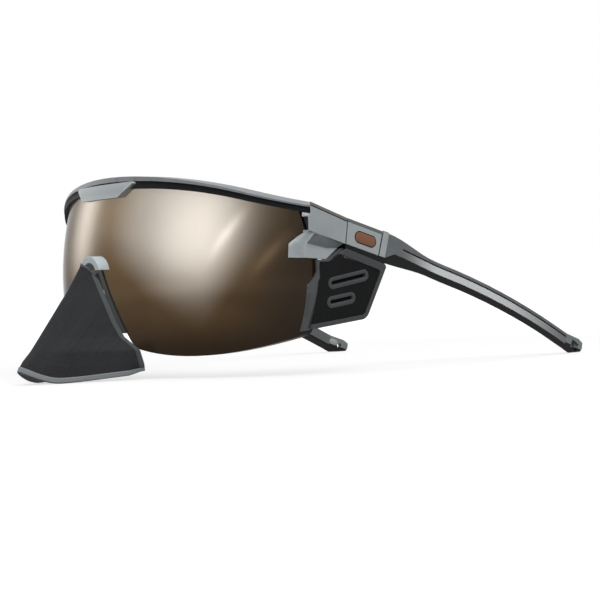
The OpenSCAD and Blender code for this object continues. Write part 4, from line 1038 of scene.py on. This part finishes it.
# The sheet's place at a row, and across it from -1 at the right edge to 1 at the left
def guardPoint(row, across):
    off, crease = abs(across), guard["ridge"]
    fallRow, hemRow, footRow = guard["fallRow"], guard["hemRow"], guard["footRow"]
    toEdge = (math.hypot(off, crease) - crease) / (math.hypot(1, crease) - crease)
    flank = ease((off - guard["flank"]) / (1 - guard["flank"]))
    ridgeZ = mix(guard["topZ"], guard["lift"], pick(guard["share"], min(row, fallRow)))
    edgeZ = pick(guard["edgeZ"], min(row, fallRow))
    footZ = guard["lift"] * (1 - ease(off / guard["flank"])) + guard["rear"] * flank
    if row < hemRow:
        down = max(0, row - fallRow) / (hemRow - fallRow)
        z = mix(mix(ridgeZ, edgeZ, toEdge), footZ + guard["hem"], down)
    else:
        z = footZ + guard["hem"] * (footRow - row) / (footRow - hemRow)
    # The head rises under the saddle, and its shoulders fall away
    z += guard["arch"] * (1 - across * across) * ease(1 - row / guard["archRow"])
    z -= guard["shoulder"] * flank * ease(1 - row / guard["shoulderRow"])
    # Rounded rear corners
    turn = ease((off - guard["cornerFrom"]) / (1 - guard["cornerFrom"]))
    turn *= ease((row - guard["cornerRow"]) / (footRow - guard["cornerRow"]))
    z += guard["corner"] * turn
    ridgeY = mix(-guard["topY"], -guard["lowY"], pick(guard["share"], row))
    y = mix(ridgeY, pick(guard["edgeY"], row), toEdge)
    x = across * (pick(guard["edgeX"], row) - guard["cornerIn"] * turn)
    return Vector((x * mm, lensFrontY + y * mm, z * mm))


def leftEdge(row):
    return 1


def rightEdge(row):
    return -1


def tapeStart(row):
    chord = (guardPoint(row, 1) - guardPoint(row, 0)).length
    return 1 - guard["tape"] * mm / (chord * guard["bow"])


# A strip of the guard's sheet between two rows, its two sides given as functions of the row
def guardStrip(name, nodeName, cells, rows, start, end, thick, proud):
    bm = bmesh.new()
    uv = bm.loops.layers.uv.new("weave")
    bmesh.ops.create_grid(bm, x_segments=cells[0], y_segments=cells[1], size=0.5)
    for vert in bm.verts:
        row = mix(*rows, 0.5 - vert.co.y)
        vert.co = guardPoint(row, mix(start(row), end(row), vert.co.x + 0.5))
    smoothFaces(bm)
    wide, long = guard["weave"]
    for face in bm.faces:
        for loop in face.loops:
            spot = loop.vert.co
            loop[uv].uv = (spot.x * wide, (spot.z - spot.y) * long)
    bmesh.ops.recalc_face_normals(bm, faces=bm.faces)
    if sum(f.normal.y for f in bm.faces) > 0:
        bmesh.ops.reverse_faces(bm, faces=bm.faces)
    piece = fitPiece(name, bm, nodeName)
    wall = piece.modifiers.new("wall", "SOLIDIFY")
    wall.thickness = thick * mm
    wall.offset = -1 + 2 * proud / thick
    wall.use_even_offset = True
    soft = piece.modifiers.new("soft", "BEVEL")
    soft.width = guard["soft"] * mm
    soft.segments = 2
    soft.limit_method = "ANGLE"
    soft.angle_limit = math.radians(guard["softAngle"])
    return piece


under, tapeThick = guard["under"], guard["cloth"] + guard["lap"] + guard["proud"]
head, hem, foot = guard["headRow"], guard["hemRow"], guard["footRow"]
guardCloth = guardStrip("guard_cloth", "guard_panel", (48, 66), (head - under, hem + under),
                        lambda row: -tapeStart(row) - under, lambda row: tapeStart(row) + under,
                        guard["cloth"], 0)
guardTapes = []
for name, cells, rows, start, end in (
        ("guard_hem_tape", (64, 4), (hem, foot), rightEdge, leftEdge),
        ("guard_head_tape", (16, 2), (0, head), rightEdge, leftEdge),
        ("guard_tape_left", (2, 66), (head, hem), tapeStart, leftEdge),
        ("guard_tape_right", (2, 66), (head, hem), rightEdge, lambda row: -tapeStart(row))):
    guardTapes.append(guardStrip(name, "guard_binding", cells, rows, start, end,
                                 tapeThick, guard["proud"]))
# The hem's tape is pale with a black lower edge, and the other tapes are darker
guardTapes[0].data.materials.append(finishes["grip_rubber"])
guardTapes[0].modifiers["wall"].material_offset_rim = 1
for tape in guardTapes[1:]:
    tape.data.materials[0] = finishes["sideTape"]
# The satin flash is too soft to mirror what stands close before it
close = [pieces[node] for node in ("nose_frame", "nose_bridge", "brow_clip", "brow_rim")]
for piece in guardTapes + [guardCloth] + close:
    piece.visible_glossy = False
print("nose guard made")
